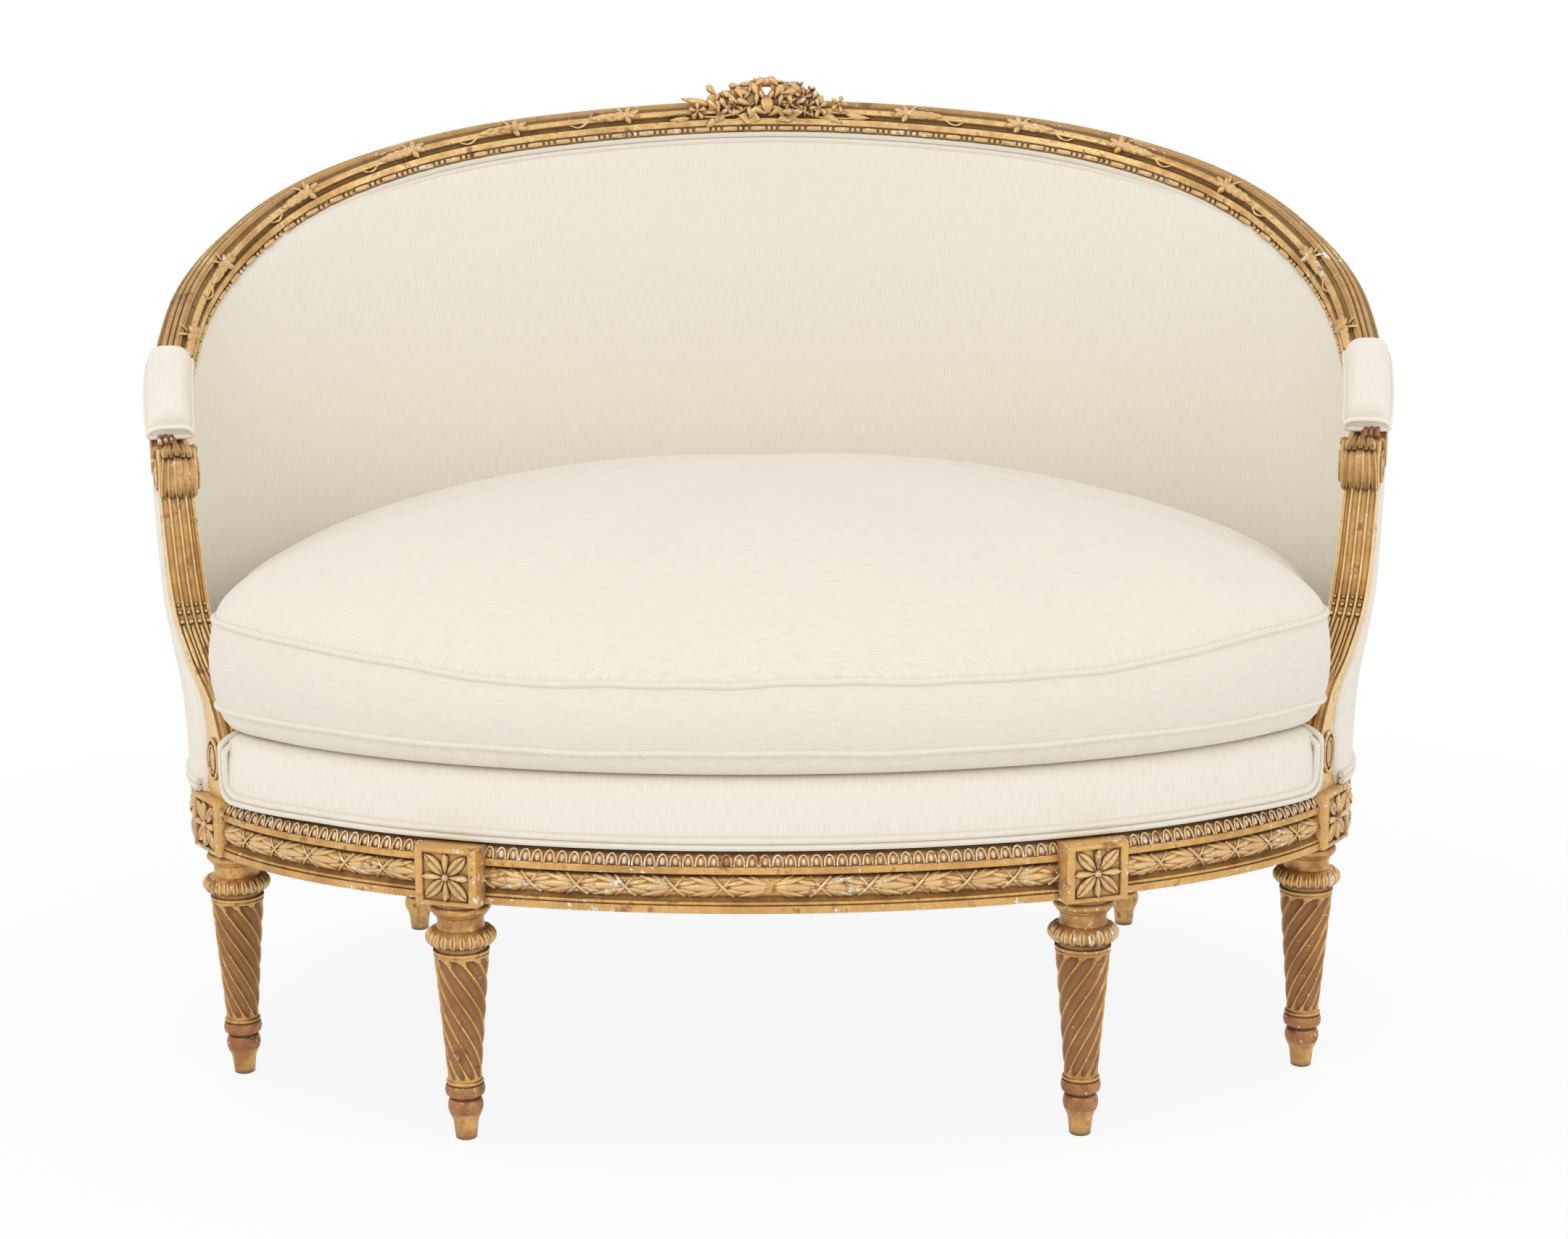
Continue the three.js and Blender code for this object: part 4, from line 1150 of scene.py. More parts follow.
@dataclass
class Leg:
    """A turned, spirally fluted and carved leg with its square block."""

    name: str
    degrees: float
    inset: float
    carved: bool
    block_half: float = 31 * MM
    recess_half: float = 23 * MM
    recess_depth: float = 3 * MM
    flutes: int = 10
    twist: float = math.radians(200)
    flute_depth: float = 5.6 * MM
    taper_foot: float = 61 * MM
    taper_head: float = 185 * MM
    steps_per_flute: int = 14
    collar_leaves: int = 22
    worn_foot: float = 27 * MM
    worn_head: float = 55 * MM
    collar_radius: float = 31 * MM
    collar_height: float = 199 * MM
    soft_edge: float = 1.2 * MM
    flute_radius: float = 26.2 * MM

    def place(self) -> Track:
        """The block's middle, with the way that its face looks."""
        return SEAT.level(np.array([self.degrees]), RAIL_BOTTOM + RAIL_HEIGHT / 2, self.inset)

    def outline(self) -> tuple[Array, Array]:
        """The turned outline as heights and radii, its beads as arcs.

        Returns:
            The heights and the radii.
        """
        rows: list[tuple[float, float]] = [(0, 7), (0, 9.2), (0.8, 10.2), (6, 10.7), (12, 11.3), (17, 11.9),
                                           (20, 12.8),
                                           (23, 14.2), (26, 15.5), (29, 16.4), (32, 16.8), (35, 16.6),
                                           (38, 15.8)]

        def bulge(low: float, high: float, start: float, crown: float, stop: float, count: int = 7) -> None:
            """Adds an arc to the outline.

            Args:
                low: the lower height.
                high: the upper height.
                start: the radius at the lower one.
                crown: the radius half way.
                stop: the radius at the upper one.
                count: how many points it has.
            """
            for t in np.linspace(0, 1, count):
                base = lerp(start, stop, t)
                rows.append((lerp(low, high, t), base + (crown - (start + stop) / 2) * math.sin(math.pi * t)))

        rows.extend([(40.4, 14.6), (40.8, 13.2), (43, 13.2), (43.4, 16.6)])
        bulge(44, 54, 17.8, 18.9, 17.8, 6)
        rows.extend([(54.3, 16.4), (55.2, 16.4)])
        bulge(55.2, 58.6, 16.6, 17.9, 16.6, 5)
        rows.extend([(59, 15.8)])
        rows.extend((z, lerp(15.9, 26.2, (z - 61) / 124)) for z in np.linspace(61, 182.5, 74))
        rows.extend([(183, 25.4), (184, 25.4), (184.4, 26.3), (186.6, 26.5), (187, 23.4), (190.4, 23.4)])
        bulge(190.8, 208, 24.6, 32.2, 24.2, 13)
        rows.extend([(208.4, 22.8)])
        for t in np.linspace(0, 1, 7):
            rows.append((lerp(209, 221.5, t), 21.4 + 2.6 * t ** 3 + 1.2 * (1 - t) ** 4))
        rows.extend([(221.9, 25.4), (223.2, 25.8)])
        bulge(223.6, 231, 26.4, 28.7, 26.8, 6)
        rows.extend([(231.4, 25.6), (236.5, 25.6)])
        heights, radii = np.array(rows, float).T * MM
        return heights, radii

    def turned(self, centre: Array) -> Shape:
        """The turning, with its grooves wound up the taper.

        Args:
            centre: the leg's centre.

        Returns:
            The turning.
        """
        heights, radii = self.outline()
        sides = self.flutes * self.steps_per_flute
        share = np.clip((heights - self.taper_foot) / (self.taper_head - self.taper_foot), 0, 1)
        turn = np.arange(sides) / sides * TAU
        wind = turn[None, :] + self.twist * share[:, None]
        phase = (np.arange(sides) % self.steps_per_flute) / self.steps_per_flute * 2 - 1
        end = np.minimum(share / 0.075, (0.965 - share) / 0.055)
        reach = 0.82 * np.sqrt(np.clip(1 - (1 - np.clip(end, 0, 1)) ** 2, 0, 1))
        inside = np.clip(1 - (np.abs(phase)[None, :] / np.maximum(reach, 1e-6)[:, None]) ** 2, 0, 1)
        hollow = np.sqrt(inside) * (reach[:, None] > 0.02)
        depth = self.flute_depth * (radii / self.flute_radius)[:, None] * hollow
        reach_out = radii[:, None] - depth
        rings = np.stack([centre[0] + reach_out * np.cos(wind), centre[1] + reach_out * np.sin(wind),
                          np.broadcast_to(heights[:, None], wind.shape)], -1)
        # The flute hollows, which the gilding dulls to brown as painted shade.
        rubbed_and_shaded = np.concatenate([hollow, hollow[:, :1]], 1)
        return Shape().grid(rings, around=True, caps=True, cloth=np.stack([rubbed_and_shaded, 0 * rubbed_and_shaded], -1))

    def block(self, track: Track) -> Shape:
        """The square block, with a sunk panel on its face when it is carved.

        Args:
            track: the block's middle and the way that it faces.

        Returns:
            The block.
        """
        half, top = self.block_half, RAIL_HEIGHT / 2
        soft = self.soft_edge

        def ring(reach: float, rise: float, out: float) -> Array:
            """A square ring of the block."""
            corners = [(-reach, -rise), (reach, -rise), (reach, rise), (-reach, rise)]
            return np.concatenate([track.at(out, up, along) for along, up in corners])

        rows = [ring(half - soft, top - soft, -half), ring(half, top, -half + soft),
                ring(half, top, half - soft), ring(half - soft, top - soft, half)]
        if self.carved:
            panel = self.recess_half
            rows += [ring(panel + soft / 2, panel + soft / 2, half), ring(panel, panel, half - soft / 2),
                     ring(panel - soft / 2, panel - soft / 2, half - self.recess_depth)]
        return Shape().grid(np.stack(rows), around=True, caps=True)

    def collar(self, repeat: Repeat, centre: Array, finish: Material) -> Shape:
        """The ring of small leaves round the collar.

        Args:
            repeat: sets motifs in a row.
            centre: the leg's centre.
            finish: the carving's material.

        Returns:
            The leaves.
        """
        turn = np.arange(self.collar_leaves) / self.collar_leaves * TAU
        out = np.stack([np.cos(turn), np.sin(turn), 0 * turn], -1)
        origin = centre * [1, 1, 0] + out * self.collar_radius + [0, 0, self.collar_height]
        track = Track(origin, out, upwards(out))
        blade = leaf(16 * MM, 7.6 * MM, 2.6 * MM, 5)
        upright = on_face(turned(blade, -90, (0, 8 * MM, 0)))
        curl = upright.moved(lambda p: p - np.stack([0 * p[:, 0], 60 * p[:, 2] ** 2, 0 * p[:, 0]], -1))
        return repeat.along(track, curl, finish, unevenness=0.05, seed=3)

    def rosette(self, repeat: Repeat, track: Track, finish: Material) -> Shape:
        """The flower in the block's panel: four round petals, four broad leaves and a bud.

        Args:
            repeat: sets motifs in a row.
            track: the block's middle and the way that it faces.
            finish: the carving's material.

        Returns:
            The flower.
        """
        base = self.block_half - self.recess_depth
        flower = Shape()
        for first, start, length, width, rise, ridges, blunt in ((45, 3, 26, 15, 3.4, 2, 0.35),
                                                                 (0, 3, 19.5, 10, 4.4, 1, 0.8)):
            turn = np.radians(first + np.arange(4) * 90)
            up = track.up * np.cos(turn)[:, None] + track.along * np.sin(turn)[:, None]
            petals = Track(track.at(base + (rise - 2.6) / 2 * MM, 0.0) + up * start * MM,
                           np.broadcast_to(track.out[0], up.shape), up)
            blade = on_face(turned(leaf(length * MM, width * MM, rise * MM, 7, 0.0, ridges, blunt), 90))
            flower.join(repeat.along(petals, blade, finish, 1.0, 0.04, 5))
        bud = on_face(dome(8 * MM, 8 * MM, 7 * MM, 6, 10))
        return flower.join(repeat.along(Track(track.at(base, 0.0), track.out, track.up), bud, finish))

    def build(self, repeat: Repeat, finishes: Finishes) -> None:
        """Makes the leg and its twin.

        Args:
            repeat: sets motifs in a row.
            finishes: every material of the settee.
        """
        track = self.place()
        centre = track.origin[0]
        body = self.turned(centre).join(self.block(track))
        carving = self.collar(repeat, centre, finishes.gilt)
        if self.carved:
            carving.join(self.rosette(repeat, track, finishes.gilt))
        for side in Side:
            node = f"leg_{self.name}_{side.value}"
            turning = piece(f"{node}_turned", body.on(side), finishes.gilt, stands_for=[node],
                            crease=50)
            turning.data.materials.append(finishes.bare)
            for face in turning.data.polygons:
                face.material_index = int(self.carved and self.worn_foot < face.center.z < self.worn_head)
            piece(f"{node}_carving", carving.on(side), finishes.carved, crease=60)


# Seat rails


@dataclass
class SeatRail:
    """A moulded seat rail between two legs, with its carved rows."""

    node: str
    start: float
    stop: float
    paired: bool
    carved: bool = True
    step: float = 1.0
    leaf_pitch: float = 11.8 * MM
    laurel_pitch: float = 43.6 * MM
    block_half: float = 31 * MM
    leaf_rise: float = 48.6 * MM
    leaf_inset: float = 6.2 * MM
    leaf_height: float = 10.4 * MM
    laurel_rise: float = 24.4 * MM
    laurel_inset: float = 3.6 * MM
    laurel_height: float = 19 * MM
    chalky_from: float = 37 * MM

    def profile(self) -> Array:
        """The section, outward from the face and up from the rail's foot.

        Returns:
            The section's points.
        """
        rows: list[tuple[float, float]] = [(-44, 0), (-0.6, 0), (0, 0.6), (0, 6.4), (-0.6, 7), (-2.6, 7.2)]
        rows += [(-2.6 + 1.3 * math.sin(t), 9 - 1.7 * math.cos(t)) for t in np.linspace(0, math.pi, 6)]
        rows += [(-3.4, 11), (-5.8, 12.2), (-7.2, 14.2)]
        rows += [(-6.8 + 4.6 * math.sin(t), 24.4 - 9.4 * math.cos(t))
                 for t in np.linspace(0.12, math.pi - 0.12, 12)]
        rows += [(-7.6, 34.8), (-7.6, 36.2), (-2.2, 36.6), (-1.6, 37.2), (-1.6, 42.6), (-2.2, 43.4),
                 (-4.6, 43.8)]
        rows += [(-4.6 - 7.5 * (1 - math.cos(t)), 44.2 + 9.6 * math.sin(t))
                 for t in np.linspace(0, math.pi / 2, 7)]
        rows += [(-12.6, 54.6), (-44, 55)]
        return np.array(rows) * MM

    def reach(self) -> tuple[float, float]:
        """The angles where the rail runs into the blocks, just past their cheeks.

        Returns:
            The first angle and the last.
        """
        angles = np.linspace(self.start, self.stop, 400)
        way = SEAT.level(angles, 0.0).length()
        gap = self.block_half - 1.5 * MM
        return tuple(np.interp([gap, way[-1] - gap], way, angles))

    def build(self, repeat: Repeat, finishes: Finishes) -> None:
        """Makes the rail, its rows of carving and its twin.

        Args:
            repeat: sets motifs in a row.
            finishes: every material of the settee.
        """
        first, last = self.reach()
        count = max(8, round((last - first) / self.step))
        body = sweep(self.profile(), SEAT.level(np.linspace(first, last, count + 1), RAIL_BOTTOM))
        rows = Shape()
        if self.carved:
            def tongues(at: Array) -> Track:
                """Where the leaves stand."""
                return SEAT.level(at, RAIL_BOTTOM + self.leaf_rise, self.leaf_inset)

            def frieze(at: Array) -> Track:
                """Where the laurel stands."""
                return SEAT.level(at, RAIL_BOTTOM + self.laurel_rise, self.laurel_inset)

            track = tongues(evenly(tongues, first, last, self.leaf_pitch))
            lean = unit(track.up - 0.55 * track.out)
            track = Track(track.origin, unit(track.out + 0.55 * track.up), lean)
            rows = repeat.along(track, lambs_tongue(self.leaf_pitch, self.leaf_height), finishes.gilt,
                                1.0, 0.06, 11)
            middle = (first + last) / 2 if not self.paired else last
            for low, high, flip in ((first, middle, False), (middle, last, True)):
                if high - low < 1:
                    continue
                track = frieze(evenly(frieze, low, high, self.laurel_pitch))
                motif = laurel_bunch(self.laurel_pitch, self.laurel_height)
                motif = motif.mirrored() if flip else motif
                rows.join(repeat.along(track, motif, finishes.gilt, 1.0, 0.03, 12))
        for side in (Side if self.paired else [Side.RIGHT]):
            node = f"{self.node}_{side.value}" if self.paired else self.node
            piece(f"{node}_moulding", body.on(side), finishes.gilt, stands_for=[node], crease=30)
            if self.carved:
                row = piece(f"{node}_carving", rows.on(side), finishes.carved, crease=60)
                row.data.materials.append(finishes.chalky)
                for face in row.data.polygons:
                    face.material_index = int(face.center.z > RAIL_BOTTOM + self.chalky_from)


# The arm and crest rail


@dataclass
class CapRail:
    """The swept rail over the arms and back: reeds between coves, a fillet, and a bead-and-reel."""

    bead_pitch: float = 32.4 * MM
    bead_radius: float = 3.1 * MM
    step: float = 1.1

    def ground(self, t: Array) -> Array:
        """The smooth back of the moulded face, from its outer edge at 0 to its inner foot at 1.

        Args:
            t: places across the face.

        Returns:
            How far out and up each of them lies.
        """
        places = [(0, 0), (0.07, -0.6), (0.2, -7), (0.34, -14.5), (0.48, -22), (0.62, -29.5), (0.74, -34.2),
                  (0.87, -36), (1, -36.6)]
        rises = [(0, -9), (0.07, -4.6), (0.2, -1), (0.34, 0), (0.48, -0.8), (0.62, -5), (0.74, -12),
                 (0.87, -22),
                 (1, -33)]
        return np.stack([read_table(places, t), read_table(rises, t)], -1) * MM

    def surface(self, t: Array) -> tuple[Array, Array]:
        """The ground at places across it, and the way that it faces there.

        Args:
            t: places across the face.

        Returns:
            The ground's points, and the way that each faces.
        """
        base = self.ground(t)
        tangent = unit(np.gradient(base, axis=0))
        return base, np.stack([tangent[:, 1], -tangent[:, 0]], -1)

    def relief(self, t: Array) -> Array:
        """How far the face stands out of its ground.

        From the edge: cove, reeds, cove, front reed, cove, fillet and the beads' bed.

        Args:
            t: places across the face.

        Returns:
            How far each stands out.
        """
        depth = np.zeros_like(t)
        for low, high, sink in ((0.09, 0.2, 3.4), (0.55, 0.65, 4.6), (0.755, 0.832, 5.4)):
            depth -= sink * np.sqrt(np.clip(1 - ((t - (low + high) / 2) / ((high - low) / 2)) ** 2, 0, 1))
        for middle in (0.25, 0.36, 0.47):
            depth += 2.6 * np.sqrt(np.clip(1 - ((t - middle) / 0.052) ** 2, 0, 1))
            depth -= 1.2 * (np.abs(t - middle) < 0.055)
        depth += 1.2 * np.sqrt(np.clip(1 - ((t - 0.71) / 0.044) ** 2, 0, 1))
        depth += np.where((t > 0.83) & (t < 0.915), 0.6, 0)
        return (depth - np.where(t > 0.92, 2.4, 0)) * MM

    def places(self) -> Array:
        """Where the section's lines lie across the moulded face."""
        return np.unique(np.concatenate([np.linspace(0, 1, 92), [0.829, 0.831, 0.914, 0.916, 0.919, 0.921]]))

    def profile(self) -> Array:
        """The closed section, outward and up from the rail's outer top line.

        Returns:
            The section's points.
        """
        t = self.places()
        base, facing = self.surface(t)
        face = base + facing * self.relief(t)[:, None]
        under = np.array([(-35, -34), (-2, -34), (0, -32)]) * MM
        return np.concatenate([face, under])

    def worn(self) -> Array:
        """How far the gold is dulled along the section: real rubbing on the outer face, painted shade in the
        coves and most in the front cove, least on the front reed and fillet.

        Returns:
            The share for each line of the section.
        """
        t = self.places()
        # More where the face is sunk and most in the front cove, as painted shade; the outer face's higher
        # share is real rubbing.
        share = np.where(t < 0.6, 0.34, 0.14) - 0.03 * self.relief(t) / MM
        share = np.where((t > 0.755) & (t < 0.83), 0.42, share)
        share = np.where((t > 0.83) & (t < 0.917), 0.0, share)
        return np.append(share, [0.4, 0.4, 0.4])

    def bead_track(self, degrees: Array) -> Track:
        """Where the bead-and-reel lies in its bed.

        Args:
            degrees: the angles along the rail.

        Returns:
            The track.
        """
        at = self.ground(np.array([0.965]))[0]
        track = cap_track(degrees).shifted(at[0] + 0.6 * MM, at[1])
        return track

    def run(self, start: float, stop: float, repeat: Repeat, finish: Material) -> tuple[Shape, Shape]:
        """A length of the rail and its bead-and-reel between two angles.

        Args:
            start: the first angle.
            stop: the last one.
            repeat: sets motifs in a row.
            finish: the carving's material.

        Returns:
            The rail and its beads.
        """
        count = max(4, round((stop - start) / self.step))
        body = sweep(self.profile(), cap_track(np.linspace(start, stop, count + 1)), self.worn())
        row = evenly(self.bead_track, start, stop, self.bead_pitch)
        beads = repeat.along(self.bead_track(row), bead_and_reel(self.bead_pitch, self.bead_radius), finish,
                             1.0, 0.02, 21)
        return body, beads

    def tie(self, degrees: float) -> Shape:
        """A sprig of leaves along the front reed, knotted at its upper end, with ribbons over the reeds.

        Args:
            degrees: the angle where it lies.

        Returns:
            The sprig.
        """
        ends = cap_track(np.array([degrees - 0.5, degrees + 0.5])).origin
        rate = 1 / np.linalg.norm(ends[1] - ends[0])
        shape = Shape()

        def ribbon(t: Array, slide: Array, rise: float, radius: float) -> None:
            """Adds one ribbon over the face.

            Args:
                t: places across the face.
                slide: how far along the rail they are.
                rise: how far it stands out.
                radius: its radius.
            """
            base, facing = self.surface(t)
            lift = base + facing * rise
            track = cap_track(degrees + slide * rate)
            shape.join(tube(track.at(lift[:, 0], lift[:, 1]), radius, 5, flat=0.55, up=track.up - track.out))

        t = np.linspace(0.46, 0.68, 10)
        for wind in (-1, 1):
            ribbon(t, (22 + wind * (t - 0.68) * 40) * MM, 1.0 * MM, 1.8 * MM)
        turn = np.linspace(0, 1, 10)
        ribbon(0.72 + 0.08 * np.sin(math.pi * turn), lerp(-20.0, -44.0, turn) * MM, 1.0 * MM, 1.2 * MM)
        for slide, lean, reach, wide, at in (
                (24, 64, 12, 7.5, 0.7), (24, -64, 12, 7.5, 0.72), (27, 150, 10, 6, 0.68),
                (22, 22, 20, 8.5, 0.66),
                (22, -22, 20, 8.5, 0.73), (11, 15, 21, 8.5, 0.65), (11, -17, 21, 8.5, 0.74),
                (0, 14, 21, 8, 0.66),
                (0, -14, 21, 8, 0.74), (-10, 9, 20, 7.5, 0.67), (-10, -9, 20, 7.5, 0.73),
                (-18, 0, 19, 6.5, 0.7)):
            track = cap_track(np.array([degrees + slide * MM * rate]))
            out, up, along = track.out[0], track.up[0], track.along[0]
            base, facing = (rows[1] for rows in self.surface(np.array([at - 0.01, at, at + 0.01])))
            normal = out * facing[0] + up * facing[1]
            across = up * facing[0] - out * facing[1]
            root = track.at(*base)[0] + normal * 2.0 * MM
            blade = turned(leaf(reach * MM, wide * MM, 3.2 * MM, 6, 1.0 * MM, 1), lean)
            frame = np.stack([-along, across, normal])
            shape.join(blade.moved(lambda p, m=frame, o=root: p @ m + o))
            if lean == 64:
                shape.join(dome(8 * MM, 8 * MM, 4 * MM, 5, 8).moved(lambda p, m=frame, o=root: p @ m + o))
        return shape

    def build(self, repeat: Repeat, finishes: Finishes) -> None:
        """Makes the crest, its shoulders and the arm rails' straight runs.

        Args:
            repeat: sets motifs in a row.
            finishes: every material of the settee.
        """
        body, beads = self.run(CREST_JOINT, 360 - CREST_JOINT, repeat, finishes.gilt)
        ties = Shape()
        for degrees in (125.0, 137.2, 152.8):
            one = self.tie(degrees)
            ties.join(one).join(one.mirrored())
        piece("crest_rail_centre_moulding", body, finishes.bright,
              stands_for=["crest_rail_centre"], crease=35)
        piece("crest_rail_centre_carving", beads.join(ties), finishes.carved, crease=60)
        for node, start, stop, places in (("crest_rail", ARM_JOINT, CREST_JOINT, (99.6, 112.7)),
                                          ("arm_rail", ARM_FRONT, ARM_JOINT, (88.8,))):
            body, beads = self.run(start, stop, repeat, finishes.carved)
            carving = beads
            for degrees in places:
                carving.join(self.tie(degrees))
            if node == "arm_rail":
                body.join(Scroll().drum())
                carving.join(Scroll().carving())
            for side in Side:
                name = f"{node}_{side.value}"
                rail = piece(f"{name}_moulding", body.on(side), finishes.bright, stands_for=[name],
                             crease=35)
                piece(f"{name}_carving", carving.on(side), finishes.carved, crease=60)
                if node == "arm_rail":
                    rail.data.materials.append(finishes.bare)
                    worn_behind = cap_track(np.array([ArmPad.start + 0.6])).origin[0, 1]
                    for face in rail.data.polygons:
                        face.material_index = int(face.center.y < worn_behind
                                                  and face.center.z > ARM_FRONT_HEIGHT - 4 * MM)


@dataclass
class Scroll:
    """The rolled front end of an arm, with a leaf over it and a volute on each cheek."""

    radius: float = 27 * MM
    width: float = 39 * MM
    inset: float = 24 * MM
    eye: float = 6 * MM

    def place(self) -> Track:
        """The scroll's middle: outward along its axis, and upward.

        Returns:
            The track, of one place.
        """
        track = cap_track(np.array([ARM_FRONT]))
        origin = track.origin - track.out * self.inset - [0, 0, self.radius]
        return Track(origin, track.out, np.array([[0.0, 0.0, 1.0]]))

    def ahead(self) -> Array:
        """The level direction that the scroll rolls to."""
        along = self.place().along[0]
        return -along if along[1] > 0 else along

    def rim(self, across: Array | float, reach: Array | float, turn: Array) -> Array:
        """Points round the scroll's axis.

        Args:
            across: how far they lie along the axis.
            reach: how far out from it.
            turn: how far up from ahead, in radians.

        Returns:
            The points.
        """
        track = self.place()
        across, reach = (np.asarray(value, float)[..., None] for value in (across, reach))
        way = np.cos(turn)[:, None] * self.ahead() + np.sin(turn)[:, None] * track.up[0]
        return track.origin[0] + track.out[0] * across + reach * way

    def drum(self) -> Shape:
        """The roll itself, a little waisted, its edges softened.

        Returns:
            The roll.
        """
        turn = np.linspace(0, TAU, 56, endpoint=False)
        rows = [self.rim(x * self.width / 2, self.radius * max(share, 0.01), turn) for x, share in (
            (-1, 0.0), (-1, 0.72), (-0.98, 0.93), (-0.92, 0.985), (-0.82, 0.94), (-0.4, 0.9), (0, 0.88),
            (0.4, 0.9), (0.82, 0.94), (0.92, 0.985), (0.98, 0.93), (1, 0.72), (1, 0.0))]
        return Shape().grid(np.stack(rows), around=True, caps=True)

    def carving(self) -> Shape:
        """The acanthus leaf over the front and the volutes on both cheeks.

        Returns:
            The carving.
        """
        shape = Shape()
        for lobe, reach, wide, start, rise in (
                (-2, 2.1, 11, 1.05, 0), (2, 2.1, 11, 1.05, 0), (-1, 2.4, 12, 1.2, 0.5),
                (1, 2.4, 12, 1.2, 0.5),
                (0, 2.6, 12, 1.3, 1.0), (-1.6, 0.7, 10, 1.3, 1.8), (1.6, 0.7, 10, 1.3, 1.8),
                (0, 0.75, 9, 1.4, 2.4), (-0.8, 0.55, 7, 1.15, 2.4), (0.8, 0.55, 7, 1.15, 2.4)):
            t = np.linspace(0, 1, 15)
            x = lobe * (4.8 + 4.0 * t - 1.4 * t * t) * MM
            half = wide * MM * (0.3 + 0.7 * np.sin(math.pi * np.clip(t * 0.9 + 0.06, 0, 1)) ** 0.8) / 2
            curl = 2.8 * MM * smooth(0.8, 1.0, t)
            rows = [self.rim(x + across * half, self.radius * 0.9 + (lift + rise) * MM + curl,
                             start - reach * t)
                    for across, lift in ((-1, 0.1), (-0.8, 1.8), (-0.45, 2.9), (-0.15, 1.2), (0, 1.0),
                                         (0.15, 1.2), (0.45, 2.9), (0.8, 1.8), (1, 0.1), (0.9, -1.5),
                                         (-0.9, -1.5))]
            shape.join(Shape().grid(np.stack(rows, 1), around=True, caps=True))
        track = self.place()
        for cheek in (-1, 1):
            t = np.linspace(0, 1, 44)
            path = self.rim(cheek * (self.width / 2 + 0.6 * MM), lerp(self.radius * 0.86, self.eye, t),
                            math.pi / 2 + t * TAU * 1.6)
            shape.join(tube(path, lerp(2.3 * MM, 1.5 * MM, t), 6, up=track.out[0]))
            eye = dome(2 * self.eye, 2 * self.eye, 3.2 * MM, 5, 10)
            turned_eye = np.stack([self.ahead(), track.up[0], track.out[0] * cheek])
            shape.join(eye.moved(lambda p, m=turned_eye, c=cheek: p @ m + track.origin[0]
                                 + track.out[0] * c * self.width / 2))
        return shape


